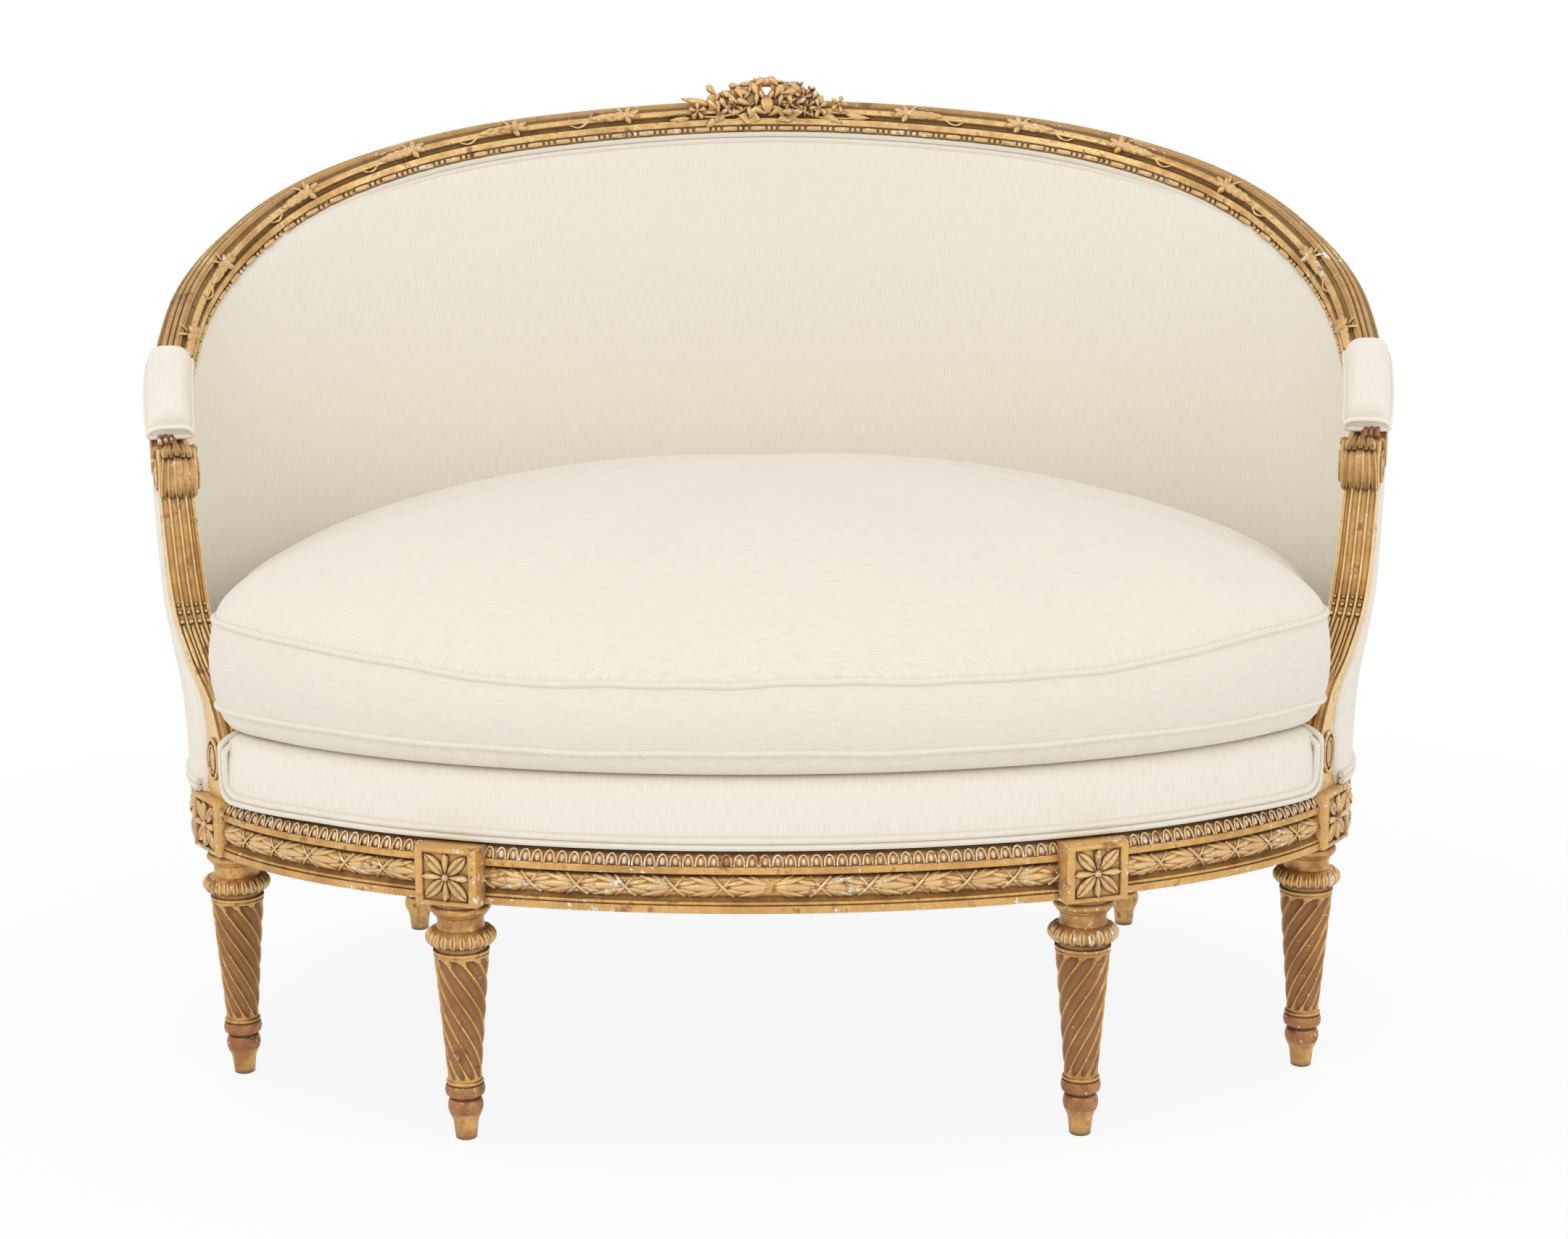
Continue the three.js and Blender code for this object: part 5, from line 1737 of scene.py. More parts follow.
@dataclass
class ArmSupport:
    """The S-curved, fluted support from the seat frame up to the scroll."""

    head_width: float = 33 * MM
    head_depth: float = 28 * MM
    foot_width: float = 40 * MM
    foot_depth: float = 48 * MM
    foot_inset: float = 27 * MM
    foot_ahead: float = 8 * MM
    flutes: int = 4
    flute_depth: float = 3.8 * MM
    boss_length: float = 38 * MM
    boss_width: float = 25 * MM

    def centre(self, share: Array) -> Array:
        """The centre line by the share of the height.

        Args:
            share: shares of the height.

        Returns:
            The points.
        """
        out = SEAT.outward(OUTER_LEG)
        ahead = np.array([out[1], -out[0], 0])
        foot = SEAT.point(OUTER_LEG) - out * self.foot_inset + ahead * self.foot_ahead
        head = CAP.point(ARM_FRONT) - CAP.outward(ARM_FRONT) * (Scroll.inset - 1.5 * MM)
        place = lerp(foot, head, read_table(SUPPORT_SWEEP, share)[..., None])
        place[..., 2] = lerp(RAIL_TOP, ARM_FRONT_HEIGHT - 2 * Scroll.radius + Scroll.radius / 4, share)
        return place

    def track(self, share: Array) -> Track:
        """The centre line with the way that the support's outer face looks."""
        out = unit(lerp(SEAT.outward(OUTER_LEG), CAP.outward(ARM_FRONT), np.asarray(share)[..., None]))
        return Track(self.centre(share), out, upwards(out))

    def halves(self, share: Array) -> tuple[Array, Array]:
        """Half the width and half the depth by the share of the height.

        Args:
            share: shares of the height.

        Returns:
            Half the width and half the depth.
        """
        waist = smooth(0, 1 / 3, share)
        width = read_table([(0, self.foot_width), (0.33, 35 * MM), (0.7, 35 * MM), (1, self.head_width)],
                           share)
        return width / 2, lerp(self.foot_depth, self.head_depth, waist) / 2

    def build(self, repeat: Repeat, finishes: Finishes) -> None:
        """Makes the support, its beads, husks and medallion.

        Args:
            repeat: sets motifs in a row.
            finishes: every material of the settee.
        """
        share = np.linspace(0, 1, 61)
        track = self.track(share)
        half_width, half_depth = self.halves(share)
        steps = 10 * self.flutes
        phase = np.linspace(0, self.flutes, steps + 1)
        groove = np.sqrt(np.clip(1 - ((phase % 1 - 0.5) / 0.4) ** 2, 0, 1))
        groove[0] = groove[-1] = 0
        level = smooth(0.02, 0.06, share) * smooth(1.0, 0.985, share)
        columns, rubbed_and_shaded = [], []
        for k, dip in enumerate(groove):
            sink = self.flute_depth * dip * level
            columns.append((lerp(-half_width, half_width, k / steps), half_depth - sink))
            rubbed_and_shaded.append(dip * level)
        columns += [(half_width, -half_depth), (-half_width, -half_depth)]
        rubbed_and_shaded += [0 * level, 0 * level]
        for k, dip in enumerate(groove[1:-1], 1):
            columns.append((-half_width + self.flute_depth * dip * level,
                            lerp(-half_depth, half_depth, k / steps)))
            rubbed_and_shaded.append(dip * level)
        # A little painted shade in the flute hollows.
        rubbed_and_shaded = 0.15 * np.stack(rubbed_and_shaded + rubbed_and_shaded[:1], 1)
        way = 1.0 if track.along[0][1] < 0 else -1.0
        rings = np.stack([track.at(x, 0.0, way * y) for x, y in columns], 1)
        body = Shape().grid(rings, around=True, caps=True, cloth=np.stack([rubbed_and_shaded, 0 * rubbed_and_shaded], -1))
        carving = self.beads(repeat, finishes.gilt)
        carving.join(self.medallion())
        for side in Side:
            node = f"arm_support_{side.value}"
            piece(f"{node}_fluted", body.on(side), finishes.bright, stands_for=[node], crease=45)
            piece(f"{node}_carving", carving.on(side), finishes.carved, crease=60)

    def ahead_sign(self) -> float:
        """Whether the track's along direction looks to the front."""
        return 1.0 if self.track(np.array([0.5])).along[0][1] < 0 else -1.0

    def beads(self, repeat: Repeat, finish: Material) -> Shape:
        """Beads and a husk in each flute of the front face.

        Args:
            repeat: sets motifs in a row.
            finish: the carving's material.

        Returns:
            The carving.
        """
        sign = self.ahead_sign()
        origins, outs, ups, sizes = [], [], [], []
        husks = Shape()
        for flute in range(self.flutes):
            across = (flute + 0.5) / self.flutes * 2 - 1
            for share, size in ((0.62, 0.75), (0.595, 0.9), (0.565, 1.1)):
                at = np.array([share])
                track = self.track(at)
                half_width, half_depth = self.halves(at)
                origins.append(track.at(half_width * across, 0.0, sign * (half_depth - 2.6 * MM))[0])
                outs.append(sign * track.along[0])
                ups.append(track.up[0])
                sizes.append(size)
            for start, reach, lift in ((0.55, 0.1, 1.2), (0.52, 0.12, 2.0), (0.5, 0.14, 0.6)):
                t = np.linspace(0, 1, 9)
                at = start - reach * t
                track = self.track(at)
                half_width, half_depth = self.halves(at)
                swell = np.sin(math.pi * np.clip(0.15 + 0.85 * t, 0, 1)) ** 0.7
                path = track.at(half_width * across, 0.0, sign * (half_depth + (lift - 4.4) * MM))
                husks.join(tube(path, swell * 2.6 * MM + 0.2 * MM, 6, up=track.out[4]))
        row = Track(np.array(origins), np.array(outs), np.array(ups))
        return repeat.along(row, on_face(dome(5.6 * MM, 5.2 * MM, 3.4 * MM, 5, 8)), finish,
                            np.array(sizes)).join(husks)

    def medallion(self) -> Shape:
        """The oval boss with its raised rim on the foot's outer face.

        Returns:
            The boss.
        """
        track = self.track(np.array([0.13]))
        half_width, _ = self.halves(np.array([0.13]))
        sign = self.ahead_sign()
        t = np.linspace(0, TAU, 36, endpoint=False)
        shape = Shape()
        for wide, tall, radius, rise in ((13.5, 19.5, 2.1, 1.4), (8, 14, 1.2, 2.6)):
            rim = track.at(half_width + rise * MM, tall * MM * np.sin(t), sign * (wide * np.cos(t) - 5) * MM)
            shape.join(tube(rim, radius * MM, 6, closed=True, up=track.out[0]))
        boss = dome(self.boss_length, self.boss_width, 3.2 * MM, 6, 20)
        turn = np.stack([track.up[0], track.along[0], track.out[0]])
        root = track.at(half_width, 0.0, -5 * MM * sign)[0]
        return shape.join(boss.moved(lambda p: p @ turn + root))


# Upholstery

WALL_FOOT = 293.1 * MM
WALL_START, WALL_PLAIN = 79.3, 112.0
DECK_TOP = 359.1 * MM
SUPPORT_HEAD = ARM_FRONT_HEIGHT - 2 * Scroll.radius + Scroll.radius / 4


def wall_track(degrees: Array, height: Array | float, inset: Array | float) -> Track:
    """Places on the upholstered back, which leans from the seat's plan out to the cap's.

    Args:
        degrees: angles round the plan.
        height: heights above the floor.
        inset: how far in from the outside.

    Returns:
        The places, with the back's outward direction.
    """
    degrees, height = np.broadcast_arrays(np.asarray(degrees, float), np.asarray(height, float))
    share = np.clip((height - WALL_FOOT) / (cap_height(degrees) - WALL_FOOT), 0, 1)
    by_arm = read_table(SUPPORT_SWEEP, np.clip((height - RAIL_TOP) / (SUPPORT_HEAD - RAIL_TOP), 0, 1))
    lean = lerp(by_arm, share, smooth(WALL_START, WALL_PLAIN, fold(degrees)))[..., None]
    out = unit(lerp(SEAT.outward(degrees), CAP.outward(degrees), lean))
    origin = lerp(SEAT.point(degrees), CAP.point(degrees), lean)
    origin[..., 2] = height
    track = Track(origin, out, upwards(out))
    return Track(track.at(-np.asarray(inset, float), 0.0), track.out, track.up)


def behind_support(height: Array) -> Array:
    """The angle round the plan where the back starts behind an arm support, by height.

    Args:
        height: heights over the floor.

    Returns:
        The angle at each height, in degrees.
    """
    support = ArmSupport()
    levels = np.linspace(WALL_FOOT, ARM_FRONT_HEIGHT, 48)
    angles = np.linspace(76, 92, 321)
    starts = []
    for level in levels:
        share = np.clip((level - RAIL_TOP) / (SUPPORT_HEAD - RAIL_TOP), 0, 1) * np.ones(1)
        section = support.track(share)
        _, half_depth = support.halves(share)
        off_axis = min(abs(level - ARM_FRONT_HEIGHT + Scroll.radius), Scroll.radius)
        reach = max(half_depth[0], math.sqrt(Scroll.radius ** 2 - off_axis ** 2)) + 0.3 * MM
        behind = -(wall_track(angles, level, 20 * MM).origin - section.origin) @ section.along[0]
        starts.append(angles[np.argmax(behind > reach)])
    return np.interp(height, levels, starts)


def under_cap(degrees: Array) -> Array:
    """The height of the cap rail's underside at the middle of its width."""
    return cap_height(degrees) - 33.5 * MM / cap_track(degrees).up[..., 2]


@dataclass
class Back:
    """The upholstered back: a stuffed inside, a plain outside, and double welts along both."""

    thickness: float = 46 * MM
    head_inset: float = 30 * MM
    crown: float = 10 * MM
    roll: float = 5 * MM
    step: float = 0.9
    rows: int = 34
    welt: float = 3.3 * MM
    tuck: float = 16 * MM

    def inner_inset(self, degrees: Array, height: Array) -> Array:
        """How far in the stuffed face lies at an angle and a height.

        Args:
            degrees: the angles.
            height: the heights.

        Returns:
            The insets.
        """
        share = np.clip((height - WALL_FOOT) / (cap_height(degrees) - WALL_FOOT), 0, 1)
        inset = lerp(self.thickness, self.head_inset, share ** 2)
        inset = inset + self.crown * smooth(WALL_START, 150, fold(degrees)) * np.sin(math.pi * share)
        below = under_cap(degrees) - height
        return inset - self.roll * (1 - smooth(-2 * MM, 24 * MM, below)) ** 2

    def slab(self, outer: float, inner: Callable[[Array, Array], Array], foot: float) -> Shape:
        """A covered slab between two insets, closed at its ends behind the arm supports.

        Args:
            outer: the outer face's inset.
            inner: gives the inner face's inset by angle and height.
            foot: the height of its lower edge.

        Returns:
            The slab.
        """
        u = np.concatenate([[0, 0.0015, 0.004, 0.008, 0.014, 0.022],
                            np.linspace(0.032, 1, round(100 / self.step))])
        u = np.concatenate([u, 2 - u[-2::-1]])[:, None]
        share = np.linspace(0, 1, self.rows)[None, :]
        degrees = np.broadcast_to(u * 100 + WALL_START, (len(u), self.rows))
        for _ in range(4):
            height = lerp(foot, under_cap(degrees) + 1.5 * MM, share)
            start = behind_support(height)
            degrees = np.where(u < 1, lerp(start, 180, u), 360 - lerp(start, 180, 2 - u))
        end = np.clip(np.minimum(u, 2 - u) / 0.022, 0, 1)
        fill = np.sqrt(1 - (1 - end) ** 2) * 0.98 + 0.02
        middle = self.tuck - 0.2 * MM
        inside = wall_track(degrees, height, middle + (inner(degrees, height) - middle) * fill).origin
        outside = wall_track(degrees, height, middle + (outer - middle) * fill).origin
        rings = np.concatenate([inside, outside[:, ::-1]], 1)
        way = (degrees - 180) * 10.4 * MM
        cloth = np.stack([way, height], -1)
        cloth = np.concatenate([cloth, cloth[:, ::-1], cloth[:, :1]], 1)
        return Shape().grid(rings, around=True, caps=True, cloth=cloth)

    def head_cord(self, lane: int, inset: float) -> Array:
        """A cord's path close under the cap rail.

        Args:
            lane: 0 for the cord next to the rail, 1 for the other.
            inset: how far it lies inside the rail's line.

        Returns:
            The path.
        """
        start = WALL_START + 1.0 + 0.62 * lane
        angles = np.arange(start, 360 - start + 0.01, 0.8)
        drop = -33.6 * MM - self.welt * (1 + 2.02 * lane)
        return cap_track(angles).at(-inset - 0.4 * MM * lane, drop)

    def inside_cords(self) -> Shape:
        """Two cords side by side under the cap rail and down to the seat behind both supports.

        Returns:
            The cords.
        """
        shape = Shape()
        for lane in (0, 1):
            head = self.head_cord(lane, 33.2 * MM)
            height = np.linspace(DECK_TOP + 4 * MM, head[0, 2] - 4 * MM, 50)
            side = behind_support(height) + 0.45 + 0.62 * lane
            down = wall_track(side, height, self.inner_inset(side, height) - 2.5 * MM).origin
            shape.join(cord(np.concatenate([down, head, down[::-1] * [-1, 1, 1]]), self.welt))
        return shape

    def outside_cords(self) -> Shape:
        """Two cords under the cap rail and two along the seat rail.

        Returns:
            The cords.
        """
        shape = Shape()
        for lane in (0, 1):
            shape.join(cord(self.head_cord(lane, 3.0 * MM), self.welt))
            start = behind_support(np.array([RAIL_TOP + 6 * MM]))[0] + 0.3
            angles = np.arange(start, 360 - start + 0.01, 0.8)
            foot = wall_track(angles, RAIL_TOP + self.welt * (1 + 2.02 * lane), 0.4 * MM)
            shape.join(cord(foot.origin, self.welt))
        return shape

    def build(self, finishes: Finishes) -> None:
        """Makes the two covers and their welts.

        Args:
            finishes: every material of the settee.
        """
        inside = piece("inside_back_cover", self.slab(6 * MM, self.inner_inset, WALL_FOOT), finishes.upright,
                       stands_for=["inside_back"], crease=60)
        piece("inside_back_welts", self.inside_cords(), finishes.level)
        piece("outside_back_cover", self.slab(0.8 * MM, lambda a, h: 0 * h + 4.1 * MM, RAIL_TOP),
              finishes.upright,
              stands_for=["outside_back"], crease=60)
        piece("outside_back_welts", self.outside_cords(), finishes.level)


def cord(path: Array, radius: float, closed: bool = False, sides: int = 8, up: Array | None = None) -> Shape:
    """A cloth-covered piping cord whose cloth coordinates run along it.

    Args:
        path: its points, in order.
        radius: its radius.
        closed: whether it runs back to its start.
        sides: how many faces go round it.
        up: a direction that its sides are set by.

    Returns:
        The cord.
    """
    count = len(path)
    way = np.concatenate([[0], np.cumsum(np.linalg.norm(np.diff(path, axis=0), axis=1))])
    shape = tube(path, radius, sides, closed, up=up)
    if closed:
        way = np.append(way, way[-1] + np.linalg.norm(path[0] - path[-1]))
        count += 1
    around = np.arange(sides + 1) / sides * TAU * radius
    cloth = np.stack(np.broadcast_arrays(way[:, None], around[None, :]), -1)
    r, k = np.meshgrid(np.arange(count - 1), np.arange(sides), indexing="ij")
    corners = np.stack([cloth[r, k], cloth[r, k + 1], cloth[r + 1, k + 1], cloth[r + 1, k]],
                       -2).reshape(-1, 2)
    shape.corners[:len(corners)] = corners.tolist()
    return shape


def past_support(points: Array, margin: float) -> Array:
    """Moves points of the seat's upholstery out of the arm supports, to the nearest face.

    Args:
        points: the points.
        margin: how far they stay off the wood.

    Returns:
        The points, moved where they have to be.
    """
    support = ArmSupport()
    share = np.clip((points[:, 2] - RAIL_TOP) / (SUPPORT_HEAD - RAIL_TOP), 0, 1)
    track = support.track(share)
    half_width, half_depth = support.halves(share)
    sides = np.where(points[:, :1] < 0, -1.0, 1.0)
    local = points * np.concatenate([sides, np.ones((len(points), 2))], 1) - track.origin
    across = np.einsum("ij,ij->i", local, track.out)
    ahead = np.einsum("ij,ij->i", local, track.along)
    wide, deep = half_width + margin, half_depth + margin
    inside = (np.abs(across) < wide) & (np.abs(ahead) < deep)
    by_face = deep - np.abs(ahead) < wide - np.abs(across) + 6 * MM
    shift_ahead = np.where(inside & by_face, np.sign(ahead) * deep - ahead, 0)
    shift_across = np.where(inside & ~by_face, np.sign(across) * wide - across, 0)
    moved = local + track.origin + track.along * shift_ahead[:, None] + track.out * shift_across[:, None]
    return moved * np.concatenate([sides, np.ones((len(points), 2))], 1)


@dataclass
class SeatDeck:
    """The stuffed platform under the cushion, with a double welt along its foot."""

    front_inset: float = 12 * MM
    side_inset: float = 45 * MM
    end: float = 73.5
    end_bulge: float = 8 * MM
    welt: float = 3.2 * MM
    high_welt: float = 347 * MM

    def inset(self, degrees: Array) -> Array:
        """How far in the deck's edge lies from the seat's plan."""
        front = self.front_inset - self.end_bulge * smooth(self.end - 14, self.end - 2, fold(degrees))
        return lerp(front, self.side_inset, smooth(self.end, self.end + 0.8, fold(degrees)))

    def build(self, finishes: Finishes) -> None:
        """Makes the deck and its welts.

        Args:
            finishes: every material of the settee.
        """
        angles = np.unique(np.concatenate([np.arange(-180, 180, 1.2),
                                           self.end + np.array([-1.5, -0.6, 0, 0.2, 0.4, 0.6, 0.8]),
                                           -self.end - np.array([-1.5, -0.6, 0, 0.2, 0.4, 0.6, 0.8])]))
        inset = self.inset(angles)
        rows = [(0.0, WALL_FOOT - 1.5 * MM), (-1.6, 300 * MM), (-2.6, 318 * MM), (-1.2, 336 * MM),
                (2.0, 347 * MM),
                (6.0, 353.5 * MM), (12.0, 357.4 * MM), (20.0, 358.9 * MM)]
        rings = [SEAT.level(angles, height, inset + extra * MM).origin for extra, height in rows]
        middle = rings[-1].mean(axis=0)
        for reach in (0.9, 0.7, 0.5, 0.3, 0.12):
            ring = lerp(middle, rings[-1], reach)
            ring[:, 2] = DECK_TOP - 0.1 * MM
            rings.append(ring)
        way = SEAT.level(angles, 0.0).length()
        way = np.append(way, way[-1] + 10 * MM)
        shape = Shape()
        cut = 5
        side = np.stack(rings[:cut])
        cloth = np.stack(np.broadcast_arrays(way[None, :], np.array([h for _, h in rows[:cut]])[:, None]), -1)
        shape.grid(side, around=True, caps=False, cloth=cloth)
        top = np.stack(rings[cut - 1:])
        flat = np.concatenate([top, top[:, :1]], 1)[..., :2]
        shape.grid(top, around=True, caps=False, cloth=flat)
        for ring in (rings[-1], rings[0]):
            shape.add(ring, [list(range(len(ring)))], ring[None, :, :2])
        shape = shape.moved(lambda p: past_support(p, 1 * MM))
        deck = piece("seat_deck_cover", shape, finishes.upright, stands_for=["seat_deck"],
                     crease=60)
        welts = Shape()
        for lane in (0, 1):
            end, soft = self.end - 0.02 - 0.7 * lane, 1.5
            low = WALL_FOOT + self.welt * (0.7 + 2.02 * lane)
            angles = np.arange(0, end - soft, 0.7)
            turn = np.linspace(0, math.pi / 2, 9)
            angles = np.concatenate([angles, end - soft + soft * np.sin(turn), np.full(8, end),
                                     np.linspace(end, end + 0.8, 10)])
            high = self.high_welt - 5 * MM * lane
            height = np.full(len(angles), low)
            height[-27:-18] = low + 12 * MM * (1 - np.cos(turn))
            height[-18:-10] = np.linspace(low + 17 * MM, high, 8)
            height[-10:] = high + 12 * MM * np.sin(np.linspace(0.1, 1, 10) * math.pi / 2)
            inset = (self.inset(np.minimum(angles, self.end - 0.1)) - 3.2 * MM
                     - 1.6 * MM * smooth(0, 25 * MM, height - low))
            inset[-10:] += 40 * MM * np.linspace(0.04, 1, 10) ** 1.5
            half = SEAT.level(angles, height, inset).origin
            path = np.concatenate([half[::-1] * [-1, 1, 1], half[1:]])
            guide = unit(SEAT.outward(angles) + np.array([0.0, 0.0, 1.0]))
            guide = np.concatenate([guide[::-1] * [-1, 1, 1], guide[1:]])
            welts.join(cord(path, self.welt, up=guide))
        piece("seat_deck_welts", welts, finishes.level)


@dataclass
class Cushion:
    """The loose feather cushion: a boxed border between two welts under a high crown."""

    foot: float = 359.7 * MM
    low_welt: float = 385 * MM
    high_welt: float = 449 * MM
    crown: float = 150 * MM
    bulge: float = 7 * MM
    welt: float = 3.2 * MM
    step: float = 1.2

    inset_table: tuple[tuple[float, float], ...] = (
        (0, 1.2), (55, 1.2), (68, 0.2), (73.5, 0.6), (77, 20), (80, 47), (84, 50), (140, 53.8), (180, 53.8))

    def ring(self, angles: Array, extra: float, height: Array | float) -> Array:
        """A ring of the cushion's outline, set in by an extra."""
        inset = read_table(self.inset_table, fold(angles)) * MM + extra
        return SEAT.level(angles, height, inset).origin

    def seam(self, angles: Array, high: bool) -> Array:
        """The uneven line of a welt.

        Args:
            angles: the angles round the cushion.
            high: whether it is the upper welt.

        Returns:
            The height at each angle.
        """
        turn = np.radians(angles)
        if high:
            line = (self.high_welt + 22 * MM * smooth(34, 76, fold(angles))
                    - 20 * MM * smooth(80, 120, fold(angles)))
            wave = (1.6 * MM * np.sin(5 * turn + 0.7) + 0.9 * MM * np.sin(13 * turn)
                    + 0.5 * MM * np.sin(29 * turn + 1))
        else:
            line = (self.low_welt + 3 * MM * smooth(50, 76, fold(angles))
                    - 10 * MM * smooth(84, 120, fold(angles)))
            wave = 0.9 * MM * np.sin(7 * turn + 2) + 0.5 * MM * np.sin(17 * turn)
        return line + wave

    def shape(self) -> Shape:
        """The cover, its three panels with their own cloth coordinates.

        Returns:
            The cover.
        """
        angles = np.arange(-180, 180, self.step)
        turn = np.radians(angles)
        low, high = self.seam(angles, False), self.seam(angles, True)
        way = SEAT.level(angles, 0.0).length()
        way = np.append(way, way[-1] + way[1])
        under = [self.ring(angles, inset * MM, lerp(self.foot, low, rise))
                 for inset, rise in ((30, 0.0), (20, 0.05), (12, 0.2), (6, 0.45), (2.5, 0.72), (0.5, 1.0))]
        middle = under[0].mean(axis=0)
        centre = [lerp(middle, under[0], reach) for reach in (0.1, 0.35, 0.6, 0.8)]
        for ring in centre:
            ring[:, 2] = self.foot
        side = []
        for share in np.linspace(0, 1, 11):
            out = self.bulge * math.sin(math.pi * share) ** 0.7
            pucker = 0.7 * MM * np.sin(47 * turn + 3 * math.sin(2 * share)) * math.sin(math.pi * share)
            side.append(self.ring(angles, -out + pucker, lerp(low, high, share)))
        edge = self.ring(angles, 0.5 * MM, high)
        top = [edge]
        hub = edge.mean(axis=0)
        for reach in (0.997, 0.99, 0.98, 0.965, 0.945, 0.92, 0.89, 0.855, 0.815, 0.77, 0.72, 0.665, 0.605,
                      0.54, 0.47,
                      0.4, 0.32, 0.24, 0.16, 0.08):
            ring = lerp(hub, edge, reach)
            rise = self.crown * (1 - reach ** 1.8) ** 0.6
            fold_line = (1.4 * MM * np.sin(41 * turn) * (1 - smooth(0, 0.12, 1 - reach))
                         * smooth(0, 0.02, 1 - reach))
            sag = 2.5 * MM * np.sin(3 * turn + 1.1) * math.sin(math.pi * reach) ** 2
            ring[:, 2] = lerp(high.mean(), high, reach) + rise + fold_line + sag
            top.append(ring)
        shape = Shape()
        flat = np.stack(centre + under)
        shape.grid(flat, around=True, cloth=np.concatenate([flat, flat[:, :1]], 1)[..., :2])
        side = np.stack(side)
        height = np.linspace(0, 1, 11)[:, None] * (high - low)[None, :] + low
        height = np.concatenate([height, height[:, :1]], 1)
        shape.grid(side, around=True, cloth=np.stack([np.broadcast_to(way, height.shape), height], -1))
        top = np.stack(top)
        reach_way = np.linspace(1.0, 0.08, len(top))[:, None, None]
        cloth = np.concatenate([top, top[:, :1]], 1)[..., :2] * (1 + 0.05 * (1 - reach_way))
        shape.grid(top, around=True, cloth=cloth)
        for ring in (top[-1], centre[0]):
            shape.add(ring, [list(range(len(ring)))], ring[None, :, :2])
        return shape

    def build(self, finishes: Finishes) -> None:
        """Makes the cushion and its two welts.

        Args:
            finishes: every material of the settee.
        """
        cover = piece("loose_cushion_cover", self.shape().moved(lambda p: past_support(p, 2 * MM)),
                      finishes.level,
                      Body.CUSHION, ["loose_cushion"], 70)
        angles = np.arange(-180, 180, 0.8)
        welts = Shape()
        for high in (False, True):
            path = self.ring(angles, -1.0 * MM, self.seam(angles, high))
            welts.join(cord(past_support(path, 5 * MM), self.welt, closed=True))
        piece("loose_cushion_welts", welts, finishes.level, Body.CUSHION)


@dataclass
class ArmPad:
    """The stuffed pad on an arm, its cover gathered to a welt at each end."""

    start: float = 77.1
    stop: float = 86.2
    width: float = 45 * MM
    height: float = 24 * MM
    crown: float = 8 * MM
    welt: float = 2.6 * MM

    def section(self, share: float, grow: float = 0.0) -> Array:
        """The outline across the pad, outward and upward, at a share of its length.

        Args:
            share: the share of the length.
            grow: how far the outline is let out.

        Returns:
            The outline's points.
        """
        turn = np.linspace(0, TAU, 40, endpoint=False)
        near_end = np.clip(min(share, 1 - share) / 0.15, 0, 1)
        rounded = math.sqrt(1 - (1 - near_end) ** 2.2)
        half = self.width / 2 * lerp(0.95 if share < 0.5 else 0.8, 1, rounded) + grow
        tall = (self.height + self.crown) * lerp(0.3 if share < 0.5 else 0.14, 1, rounded) + grow
        c, s = np.cos(turn), np.sin(turn)
        x = half * np.sign(c) * np.abs(c) ** 0.62
        y = np.where(s > 0, tall * np.abs(s) ** 0.72, -lerp(3, 9, rounded) * MM * np.abs(s) ** 0.5)
        return np.stack([x - 20.2 * MM, y], -1)

    def build(self, finishes: Finishes) -> None:
        """Makes the pad and its end welts, and their twins.

        Args:
            finishes: every material of the settee.
        """
        shares = np.concatenate([[0, 0.01, 0.025, 0.05, 0.08, 0.11], np.linspace(0.15, 0.85, 15),
                                 [0.89, 0.92, 0.95, 0.975, 0.99, 1]])
        track = cap_track(lerp(self.start, self.stop, shares))
        way = track.length()
        rings, cloth = [], []
        for k, share in enumerate(shares):
            outline = self.section(share)
            rings.append(track.origin[k] + outline[:, :1] * track.out[k] + outline[:, 1:] * track.up[k])
            girth = np.concatenate([[0], np.cumsum(np.linalg.norm(np.diff(outline, axis=0), axis=1))])
            cloth.append(np.stack([np.append(girth, girth[-1] + 4 * MM), np.full(41, way[k])], -1))
        body = Shape().grid(np.stack(rings), around=True, caps=True, cloth=np.stack(cloth))
        welts = Shape()
        for share in (0.0, 1.0):
            place = cap_track(np.array([lerp(self.start, self.stop, share)]))
            outline = self.section(share, 0.4 * MM)
            ring = place.origin[0] + outline[:, :1] * place.out[0] + outline[:, 1:] * place.up[0]
            welts.join(tube(ring, self.welt, 8, closed=True, up=place.along[0]))
        for across in (0.12, math.pi - 0.12):
            k = int(round(across / TAU * 40))
            edge = np.array([ring[k] for ring in rings])
            edge += track.out * math.copysign(0.6 * MM, math.cos(across))
            welts.join(cord(edge, self.welt * 0.8))
        for side in Side:
            node = f"arm_pad_{side.value}"
            pad = piece(f"{node}_cover", body.on(side), finishes.upright, stands_for=[node],
                        crease=70)
            piece(f"{node}_welts", welts.on(side), finishes.upright)


